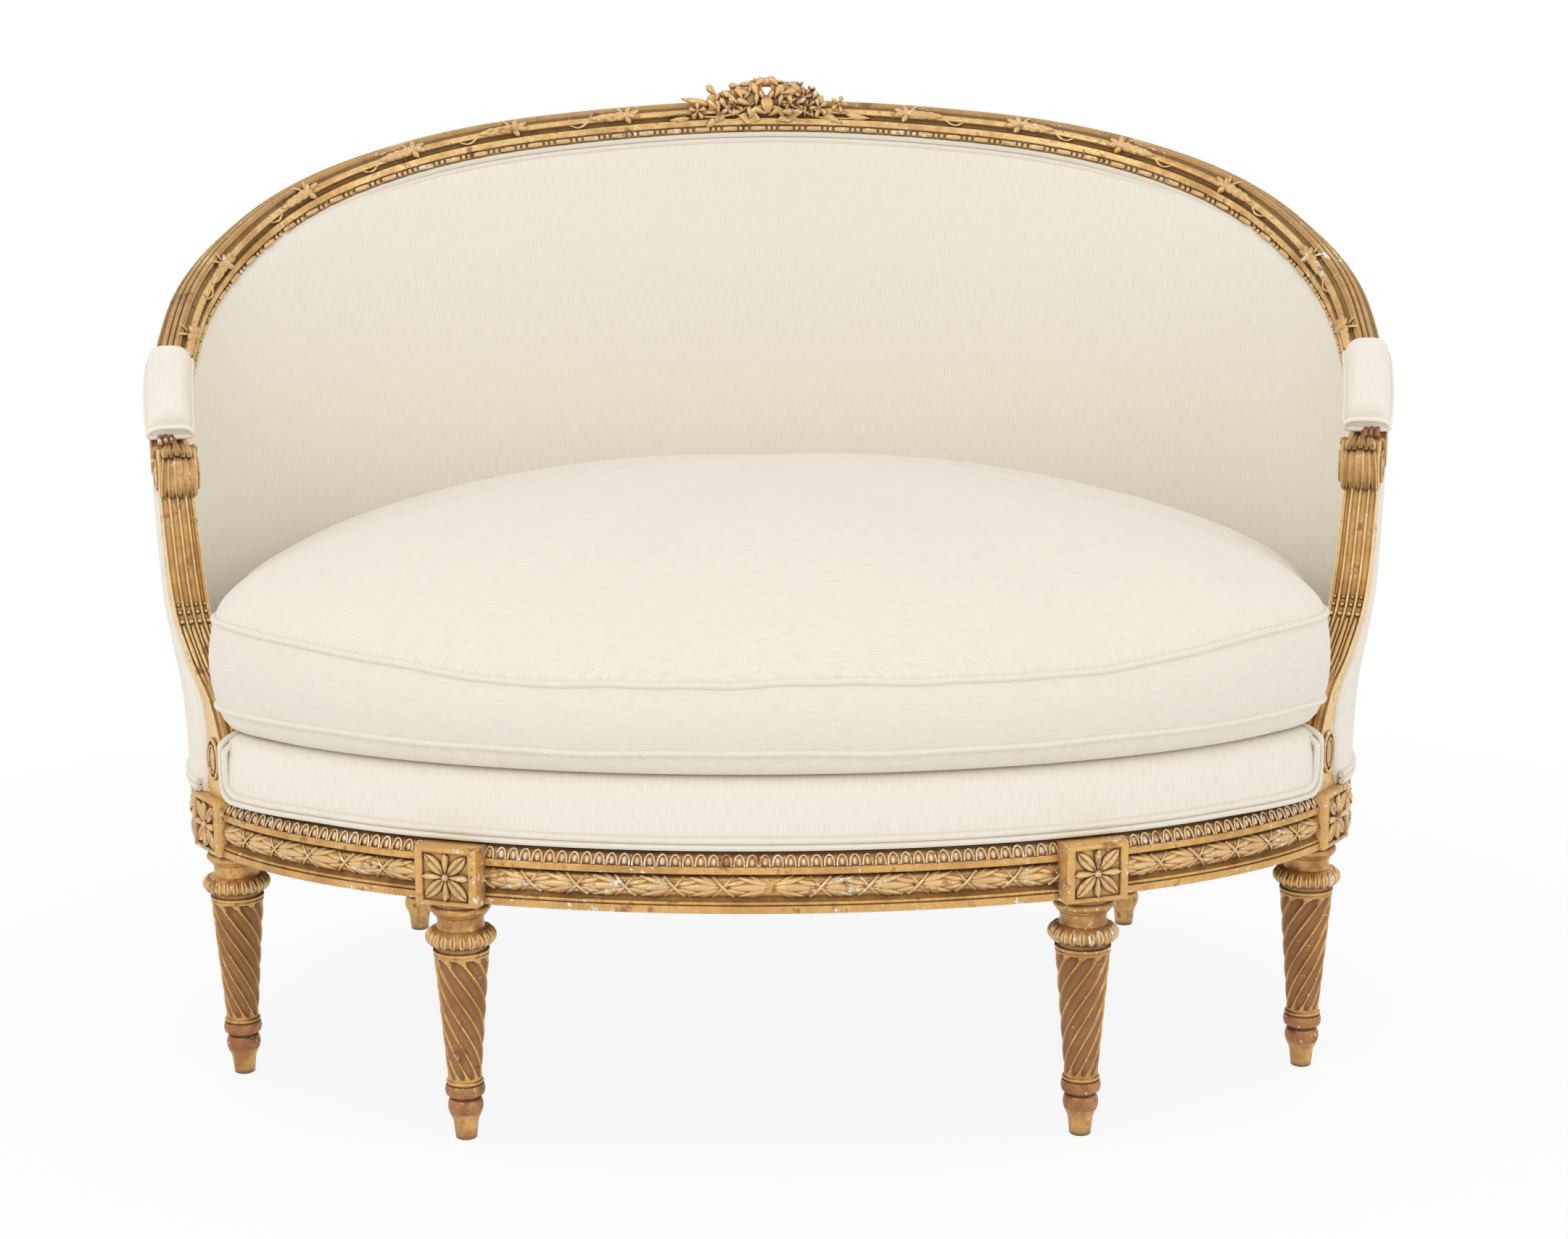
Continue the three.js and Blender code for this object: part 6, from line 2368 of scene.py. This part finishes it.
@dataclass
class Cresting:
    """The carved mound of leaves and flowers, knotted with a ribbon, on the middle of the crest."""

    middle_height: float = 962 * MM
    outline: tuple[tuple[float, float], ...] = (
        (-66, 8), (-60, 13), (-52, 6), (-46, 11), (-38, 19), (-30, 20), (-20, 24), (-8, 27), (8, 27),
        (16, 24),
        (22, 26), (29, 21), (38, 23), (46, 14), (54, 14), (62, 7))
    hole: tuple[float, float, float] = (0.5, 11.0, 4.5)
    face_inset: float = 31 * MM

    def place(self, x: float, z: float, out: float = 0.0) -> tuple[Array, Array]:
        """A point over the crest's face, in metres, and the face's direction there.

        Args:
            x: along the rail, in mm.
            z: upward, in mm.
            out: how far it stands out, in mm.

        Returns:
            The point and the direction.
        """
        face = CAP.point(180.0)[1] - self.face_inset
        lean = 6 * MM * smooth(-12 * MM, 6 * MM, z)
        normal = unit(np.array([x * 0.5, -1.0, 0.22]))
        return np.array([x, face - x * x * 0.35 + lean, self.middle_height + z]) + normal * out, normal

    def points(self, x: Array, z: Array, out: Array) -> Array:
        """Many points over the crest's face, from places in mm.

        Args:
            x: along the rail, in mm.
            z: upward, in mm.
            out: how far it stands out, in mm.

        Returns:
            The points.
        """
        x, z, out = np.broadcast_arrays(x, z, out)
        spots = [self.place(a * MM, b * MM, c * MM)[0] for a, b, c in zip(x.ravel(), z.ravel(), out.ravel())]
        return np.array(spots).reshape(*x.shape, 3)

    def blade(self, x: float, z: float, turn: float, size: Sequence[float], out: float,
              blunt: float = 1.0) -> Shape:
        """A leaf that lies on the crest's face.

        Args:
            x: its root's place across, in mm.
            z: its root's place up, in mm.
            turn: where it points, in degrees from the +x side.
            size: its length, width and height in mm.
            out: how far its root stands out, in mm.
            blunt: 0 for a pointed tip, 1 for a round one.

        Returns:
            The leaf.
        """
        root, normal = self.place(x * MM, z * MM, out * MM)
        side = unit(np.array([-normal[1], normal[0], 0.0]))
        up = np.cross(normal, side)
        up = up if up[2] > 0 else -up
        a = math.radians(turn)
        along, across = side * math.cos(a) + up * math.sin(a), -side * math.sin(a) + up * math.cos(a)
        length, width, height = (value * MM for value in size)
        shape = leaf(length, width, height, 6, -0.3 * height, 1, blunt)
        return shape.moved(lambda p: p @ np.stack([along, across, normal]) + root)

    def ribbon_end(self, corners: Sequence[tuple[float, float]]) -> Shape:
        """A flat cut end of the ribbon that waves between four corners of x and z, in mm.

        Args:
            corners: the four corners.

        Returns:
            The ribbon's end.
        """
        (x0, z0), (x1, z1), (x2, z2), (x3, z3) = corners
        u, v = np.meshgrid(np.linspace(0, 1, 9), np.linspace(0, 1, 5), indexing="ij")
        x = (1 - u) * ((1 - v) * x0 + v * x3) + u * ((1 - v) * x1 + v * x2)
        z = (1 - u) * ((1 - v) * z0 + v * z3) + u * ((1 - v) * z1 + v * z2)
        out = 8 + 1.8 * np.sin(u * 7 + v * 1.5)
        rear = self.points(x, z, out - 2.2)[:, ::-1]
        return Shape().grid(np.concatenate([self.points(x, z, out), rear], 1), around=True, caps=True)

    def strand(self, places: Sequence[tuple[float, float, float]], width: Sequence[float],
               flat: float) -> Shape:
        """A stem or a ribbon through places of x, z and how far it stands out, in mm.

        Args:
            places: the places.
            width: the width at each place, in mm.
            flat: how thick it is next to its width.

        Returns:
            The strand.
        """
        t = np.arange(len(places))
        fine = np.linspace(0, len(places) - 1, 6 * len(places))
        x, z, out = (read_table(list(zip(t, column)), fine) for column in zip(*places))
        radius = read_table(list(zip(t, width)), fine) * MM / 2
        return tube(self.points(x, z, out), radius, 8, flat=flat, up=np.array([0.0, -1.0, 0.2]))

    def core(self, x: Array, low: Array | float, high: Array | float, thick: float) -> Shape:
        """A pillow of wood between two outlines, in mm.

        Args:
            x: places along the rail.
            low: the lower outline.
            high: the upper outline.
            thick: how far it stands out.

        Returns:
            The pillow.
        """
        turn = np.linspace(0, TAU, 12, endpoint=False)
        low, high = (np.broadcast_to(edge, x.shape)[:, None] for edge in (low, high))
        z = (low + high) / 2 + (high - low) / 2 * np.sin(turn)
        return Shape().grid(self.points(x[:, None], z, np.maximum(-3.0, thick * np.cos(turn))), around=True,
                            caps=True)

    def mound(self) -> Shape:
        """The leaves heaped over a core, pierced near the middle of the top.

        Returns:
            The mound.
        """
        rng = np.random.default_rng(11)
        shape = Shape()
        for s in (-1, 1):
            x = s * np.array([66, 63, 56, 46, 36, 26, 16, 7, 5])
            shape.join(self.core(x, -12, read_table(self.outline, x) - 1.5, 7))
        x = np.linspace(-15, 15, 9)
        shape.join(self.core(x, 15.5 - 0.02 * x * x, 26.5 - 0.03 * x * x, 8))
        shape.join(self.core(x * 0.7, -14, 6.5 - 0.06 * x * x, 8))
        for row, (share, size) in enumerate(((0.84, 16), (0.52, 19), (0.2, 19), (-0.15, 17))):
            for x in np.arange(-60, 61, 12.4) + 5 * (row % 2):
                top = float(read_table(self.outline, np.array([x]))[0])
                x, z = x + rng.uniform(-2, 2), lerp(-9, top, share) + rng.uniform(-1.5, 1.5)
                turn = math.degrees(math.atan2(z + 34, x * 0.8)) + rng.uniform(-60, 60)
                if share > 0.8:
                    turn = 90 - math.copysign(62, x) + rng.uniform(-22, 22)
                aim = np.array([math.cos(math.radians(turn)), math.sin(math.radians(turn))])
                x, z = x - aim[0] * size * 0.4, z - aim[1] * size * 0.4
                reaches = np.hypot(x + aim[0] * size * np.array([0.3, 1.0]) - self.hole[0],
                                   z + aim[1] * size * np.array([0.3, 1.0]) - self.hole[1])
                if reaches.min() < self.hole[2] + 5:
                    continue
                out = 6 + 2.5 * (1 - abs(x) / 66) - 3.5 * (share > 0.8) + rng.uniform(-1.5, 2)
                size *= rng.uniform(0.8, 1.1)
                shape.join(self.blade(x, z, turn, (size, size * rng.uniform(0.66, 0.85), 4.6), out))
                if rng.uniform() < 0.5:
                    lobe = turn + rng.choice([-62, 62])
                    shape.join(self.blade(x, z, lobe, (size * 0.7, size * 0.5, 4.0), out - 0.5))
        for x, z, turn, size, out in ((-9, 1, 110, (19, 14, 5), 10), (9, 1, 60, (18, 15, 5), 10),
                                      (-15, 14, 40, (16, 12, 4), 8), (15, 15, 140, (16, 12, 4), 8),
                                      (17, 6, 12, (17, 14, 5), 9), (-18, 6, 170, (17, 14, 5), 9)):
            shape.join(self.blade(x, z, turn, size, out))
        return shape

    def sprigs(self) -> Shape:
        """Small flowers and leaf tufts that hang below the mound, with their stems.

        Returns:
            The sprigs.
        """
        shape = Shape()
        for x, z, size, turn in ((-79, -13, 10, 20), (-37, -7, 11, 50), (42, 2, 11, 10), (60, -10, 11, 35),
                                 (83, -6, 10, 70), (-58, -3, 9, 0), (26, -4, 9, 30)):
            for k in range(5):
                shape.join(self.blade(x, z, turn + 72 * k, (size, size * 0.74, 3.4), 8))
            root, normal = self.place(x * MM, z * MM, 7.5 * MM)
            side = unit(np.cross(normal, [0.0, 0.0, 1.0]))
            frame_of = np.stack([side, np.cross(normal, side), normal])
            bud = dome(4.5 * MM, 4.5 * MM, 3.6 * MM, 4, 8)
            shape.join(bud.moved(lambda p, m=frame_of, o=root: p @ m + o))
        for x, z, turn, size in ((-64, -5, 168, (36, 9, 3.5)), (-60, -20, 232, (15, 10, 3.5)),
                                 (62, -14, -28, (30, 8, 3)), (90, -16, -12, (26, 7, 3)),
                                 (-48, -14, 222, (17, 11, 4)),
                                 (94, -19, -6, (26, 7, 3)), (-88, -20, 186, (26, 7, 3))):
            shape.join(self.blade(x, z, turn, size, 4, 0.0))
        for places in ([(14, -4, 6), (34, -9, 7), (56, -19, 6), (80, -21, 4), (118, -21, 3)],
                       [(-14, -4, 6), (-40, -16, 6), (-66, -19, 5), (-92, -14, 4), (-124, -18, 3)],
                       [(24, -20, 5), (46, -24, 5), (62, -28, 3)],
                       [(-28, -20, 5), (-44, -24, 4), (-58, -28, 3)]):
            shape.join(self.strand(places, np.linspace(3.6, 1.6, len(places)), 0.9))
        return shape

    def knot(self) -> Shape:
        """The ribbon's knot with its two folded ends.

        Returns:
            The knot.
        """
        shape = Shape()
        for s in (-1, 1):
            shape.join(self.strand([(s * 2, -7, 9), (s * 12, -11, 9), (s * 20, -16, 7)], (5, 6, 9), 0.4))
            shape.join(self.blade(s * 2, -2, 90 - s * 28, (13, 11, 5), 10))
        shape.join(self.ribbon_end([(-33, -18), (-14, -12), (-7, -23), (-22, -28)]))
        shape.join(self.ribbon_end([(11, -24), (27, -10), (41, -15), (26, -26)]))
        for bend in (-3, 0, 3):
            shape.join(self.strand([(bend * 0.6 - 1, 4, 8), (bend * 1.3 + 0.5, -5, 12),
                                    (bend * 0.5 + 1.5, -15, 9)],
                                   (5, 7, 4), 0.9))
        return shape

    def build(self, finishes: Finishes) -> None:
        """Makes the cresting.

        Args:
            finishes: every material of the settee.
        """
        shape = self.mound().join(self.sprigs()).join(self.knot())
        piece("crest_cresting_carving", shape, finishes.carved, stands_for=["crest_cresting"],
              crease=50)


@dataclass
class UnderSeat:
    """The webbing, the dust cover with its tacks, and the wood inside the frame."""

    dust_inset: float = 24 * MM
    dust_height: float = 234.8 * MM
    strap: float = 60 * MM
    hidden: tuple[str, ...] = ("corner_block", "seat_stretcher", "dowel", "post")
    notch_half: float = 33 * MM
    tack_pitch: float = 38 * MM
    tack_margin: float = 42 * MM
    tack_width: float = 7 * MM

    def webbing(self) -> Shape:
        """Straps woven over and under one another between the rails.

        Returns:
            The straps.
        """
        shape = Shape()
        level = RAIL_TOP + 1.4 * MM
        for x in np.linspace(-0.42, 0.42, 5):
            shape.join(self.band(x, True, level))
        for y in (-0.16, 0.03, 0.2):
            shape.join(self.band(y, False, level))
        return shape

    def band(self, place: float, across: bool, level: float) -> Shape:
        """One strap, run out to the rails at both ends.

        Args:
            place: how far it lies from the middle.
            across: whether it runs from front to back.
            level: its height.

        Returns:
            The strap.
        """
        t = np.linspace(-1, 1, 61)
        half = self.strap / 2
        rows = []
        for side in (-half, half):
            if across:
                x = np.full_like(t, place + side)
                low = -np.interp(abs(place), [0, 0.2, 0.42], [0.385, 0.375, 0.29])
                y = lerp(low, 0.36, (t + 1) / 2)
            else:
                reach = {-0.16: 0.47, 0.03: 0.545, 0.2: 0.535}[place]
                x, y = t * reach, np.full_like(t, place + side)
            wave = 0.9 * MM * np.sin((x if not across else y) * 15 + (0 if across else math.pi) + place * 40)
            rows.append(np.stack([x, y, level + wave], -1))
        top = np.stack(rows, 1)
        rings = np.concatenate([top + [0, 0, 0.6 * MM], (top - [0, 0, 0.6 * MM])[:, ::-1]], 1)
        return Shape().grid(rings, around=True, caps=True)

    def dust_cover(self) -> tuple[Shape, float]:
        """The black cloth under the seat, cut round the leg blocks, and its flat area.

        Returns:
            The cloth and its area.
        """
        angles = np.arange(-180, 180, 1.0)
        edge = SEAT.level(angles, self.dust_height, self.dust_inset).origin
        for degrees, inset in LEG_INSETS.items():
            for sign in (-1, 1):
                track = SEAT.level(np.array([sign * degrees]), 0.0, inset)
                local = edge - track.origin
                across, along = local @ track.out[0], local @ track.along[0]
                half = self.notch_half
                near = (np.abs(across) < half) & (np.abs(along) < half)
                edge = edge + track.out[0] * np.where(near, -half - across, 0)[:, None]
        edge[:, 2] = self.dust_height
        middle = edge.mean(axis=0)
        rings = []
        for reach in (1, 0.97, 0.9, 0.8, 0.65, 0.5, 0.35, 0.2, 0.08):
            ring = lerp(middle, edge, reach)
            ring[:, 2] = self.dust_height - 3 * MM * (1 - reach ** 2)
            rings.append(ring)
        shape = Shape().grid(np.stack(rings), around=True)
        shape.add(rings[-1], [list(range(len(edge)))])
        nxt = np.roll(edge, -1, axis=0)
        return shape, float(abs(np.sum(edge[:, 0] * nxt[:, 1] - nxt[:, 0] * edge[:, 1])) / 2)

    def build(self, repeat: Repeat, finishes: Finishes) -> None:
        """Makes them and finishes the frame's hidden wood.

        Args:
            repeat: sets motifs in a row.
            finishes: every material of the settee.
        """
        piece("seat_webbing_straps", self.webbing(), finishes.jute, stands_for=["seat_webbing"])
        shape, area = self.dust_cover()
        cover = piece("dust_cover_cloth", shape, finishes.cambric, stands_for=["dust_cover"])

        def edge(at: Array) -> Track:
            """Where the tacks stand."""
            track = SEAT.level(at, self.dust_height - 0.4 * MM, self.dust_inset + 5 * MM)
            return Track(track.origin, track.out, -track.up)

        tacks = []
        for low, high in ((-INNER_LEG, INNER_LEG), (INNER_LEG, OUTER_LEG), (OUTER_LEG, BACK_LEG),
                          (BACK_LEG, 360 - BACK_LEG), (-BACK_LEG, -OUTER_LEG), (-OUTER_LEG, -INNER_LEG)):
            way = SEAT.level(np.linspace(low, high, 200), 0.0).length()
            first, last = np.interp([self.tack_margin, way[-1] - self.tack_margin], way,
                                    np.linspace(low, high, 200))
            tacks.append(evenly(edge, first, last, self.tack_pitch))
        head = dome(self.tack_width, self.tack_width, 1.6 * MM, 4, 8)
        heads = repeat.along(edge(np.concatenate(tacks)), head, finishes.iron)
        tack_heads = piece("dust_cover_tacks", heads, finishes.iron)
        for name, node in frame["nodes"].items():
            if any(word in name for word in self.hidden):
                node.data.materials.clear()
                node.data.materials.append(finishes.beech)


# The studio


@dataclass
class Studio:
    """A pale floor and background, soft lamps, and the photograph's camera."""

    camera_place: tuple[float, float, float] = (0.0, -2.8395, 0.970)
    pitch: float = 10.8
    roll: float = -0.38
    lens: float = 63.27
    shift_x: float = 0.009
    key_power: float = 16.5
    fill_power: float = 8.5
    light_level: float = 1.06
    light_above: float = 0.92

    def build(self) -> None:
        """Makes the floor, the world, the lamps and the camera."""
        scene = bpy.context.scene
        scene.view_settings.view_transform = "Standard"
        self.floor()
        self.world()
        self.lamp("key", (-1.6, -2.8, 2.6), 1.5, self.key_power)
        self.lamp("fill", (2.4, -2.8, 1.6), 2.0, self.fill_power)
        data = bpy.data.cameras.new("camera")
        data.lens, data.sensor_width, data.shift_x = self.lens, 36.0, self.shift_x
        camera = bpy.data.objects.new("camera", data)
        scene.collection.objects.link(camera)
        camera.location = self.camera_place
        pitch = Matrix.Rotation(math.radians(90 - self.pitch), 4, "X")
        turn = pitch @ Matrix.Rotation(math.radians(self.roll), 4, "Z")
        camera.rotation_euler = turn.to_euler()
        scene.camera = camera

    @staticmethod
    def seen(g: Graph) -> Socket:
        """1 for the rays that see the background white: the camera's, off metal and through glass.

        Args:
            g: the tree.

        Returns:
            The share, 0 or 1.
        """
        path = g.add("ShaderNodeLightPath").outputs
        seen = g.math("MAXIMUM", path["Is Camera Ray"], path["Is Glossy Ray"])
        return g.math("MAXIMUM", seen, path["Is Transmission Ray"])

    def floor(self) -> None:
        """A wide pale floor, nearly white where the camera sees it."""
        g = Graph("floor")
        plain = g.add("ShaderNodeBsdfDiffuse", {"Color": (0.86, 0.86, 0.86, 1)})
        glow = g.add("ShaderNodeEmission", {"Color": (1, 1, 1, 1), "Strength": 1.0})
        away = g.add("ShaderNodeVectorMath", {0: g.place((1, 1, 1))}, operation="LENGTH").outputs["Value"]
        share = g.ramp(away, 0.9, 1.9, 0.88, 1.0)
        part = g.add("ShaderNodeMixShader", {0: g.math("MULTIPLY", self.seen(g), share), 1: plain.outputs[0],
                                             2: glow.outputs[0]})
        g.add("ShaderNodeOutputMaterial", {"Surface": part.outputs[0]})
        shape = Shape().add(np.array([(-9, -9, 0), (9, -9, 0), (9, 14, 0), (-9, 14, 0)]), [[0, 1, 2, 3]])
        mesh = shape.mesh("floor")
        mesh.materials.append(g.owner)
        floor = bpy.data.objects.new("floor", mesh)
        bpy.context.scene.collection.objects.link(floor)

    def world(self) -> None:
        """A pale light from all round, a little less from above, and white to the camera."""
        bpy.context.scene.world = bpy.data.worlds.new("studio")
        g = Graph(bpy.context.scene.world)
        way = g.add("ShaderNodeTexCoord").outputs["Generated"]
        height = g.add("ShaderNodeSeparateXYZ", {0: way}).outputs["Z"]
        fade = g.add("ShaderNodeMapRange", {0: height, 3: self.light_level, 4: self.light_above}).outputs[0]
        soft = g.add("ShaderNodeBackground", {0: (1, 1, 1, 1), 1: fade}).outputs[0]
        white = g.add("ShaderNodeBackground", {0: (1, 1, 1, 1), 1: 1.0}).outputs[0]
        part = g.add("ShaderNodeMixShader", {0: self.seen(g), 1: soft, 2: white}).outputs[0]
        g.add("ShaderNodeOutputWorld", {0: part})

    def lamp(self, name: str, place: tuple[float, float, float], size: float, power: float) -> None:
        """A soft square lamp that looks at the settee.

        Args:
            name: its name.
            place: where it stands.
            size: the length of its sides.
            power: its power, in watts.
        """
        data = bpy.data.lights.new(name, "AREA")
        data.size, data.energy = size, power
        lamp = bpy.data.objects.new(name, data)
        bpy.context.scene.collection.objects.link(lamp)
        lamp.location = place
        aim = Vector((0.0, 0.0, 0.55)) - Vector(place)
        lamp.rotation_euler = aim.to_track_quat("-Z", "Y").to_euler()


def main() -> None:
    """Builds the whole settee and its studio."""
    logging.basicConfig(level=logging.INFO, format="%(name)s: %(message)s")
    finishes = Finishes()
    repeat = Repeat()
    for name, degrees, carved in (("front_inner", INNER_LEG, True), ("front_outer", OUTER_LEG, True),
                                  ("back", BACK_LEG, False)):
        Leg(name, degrees, LEG_INSETS[degrees], carved).build(repeat, finishes)
    SeatRail("seat_rail_front_centre", -INNER_LEG, INNER_LEG, False).build(repeat, finishes)
    SeatRail("seat_rail_front", INNER_LEG, OUTER_LEG, True).build(repeat, finishes)
    SeatRail("seat_rail_side", OUTER_LEG, BACK_LEG, True).build(repeat, finishes)
    SeatRail("seat_rail_back", BACK_LEG, 360 - BACK_LEG, False, carved=False).build(repeat, finishes)
    CapRail().build(repeat, finishes)
    ArmSupport().build(repeat, finishes)
    Cresting().build(finishes)
    Back().build(finishes)
    SeatDeck().build(finishes)
    Cushion().build(finishes)
    ArmPad().build(finishes)
    UnderSeat().build(repeat, finishes)
    Studio().build()


if __name__ == "__main__":
    main()
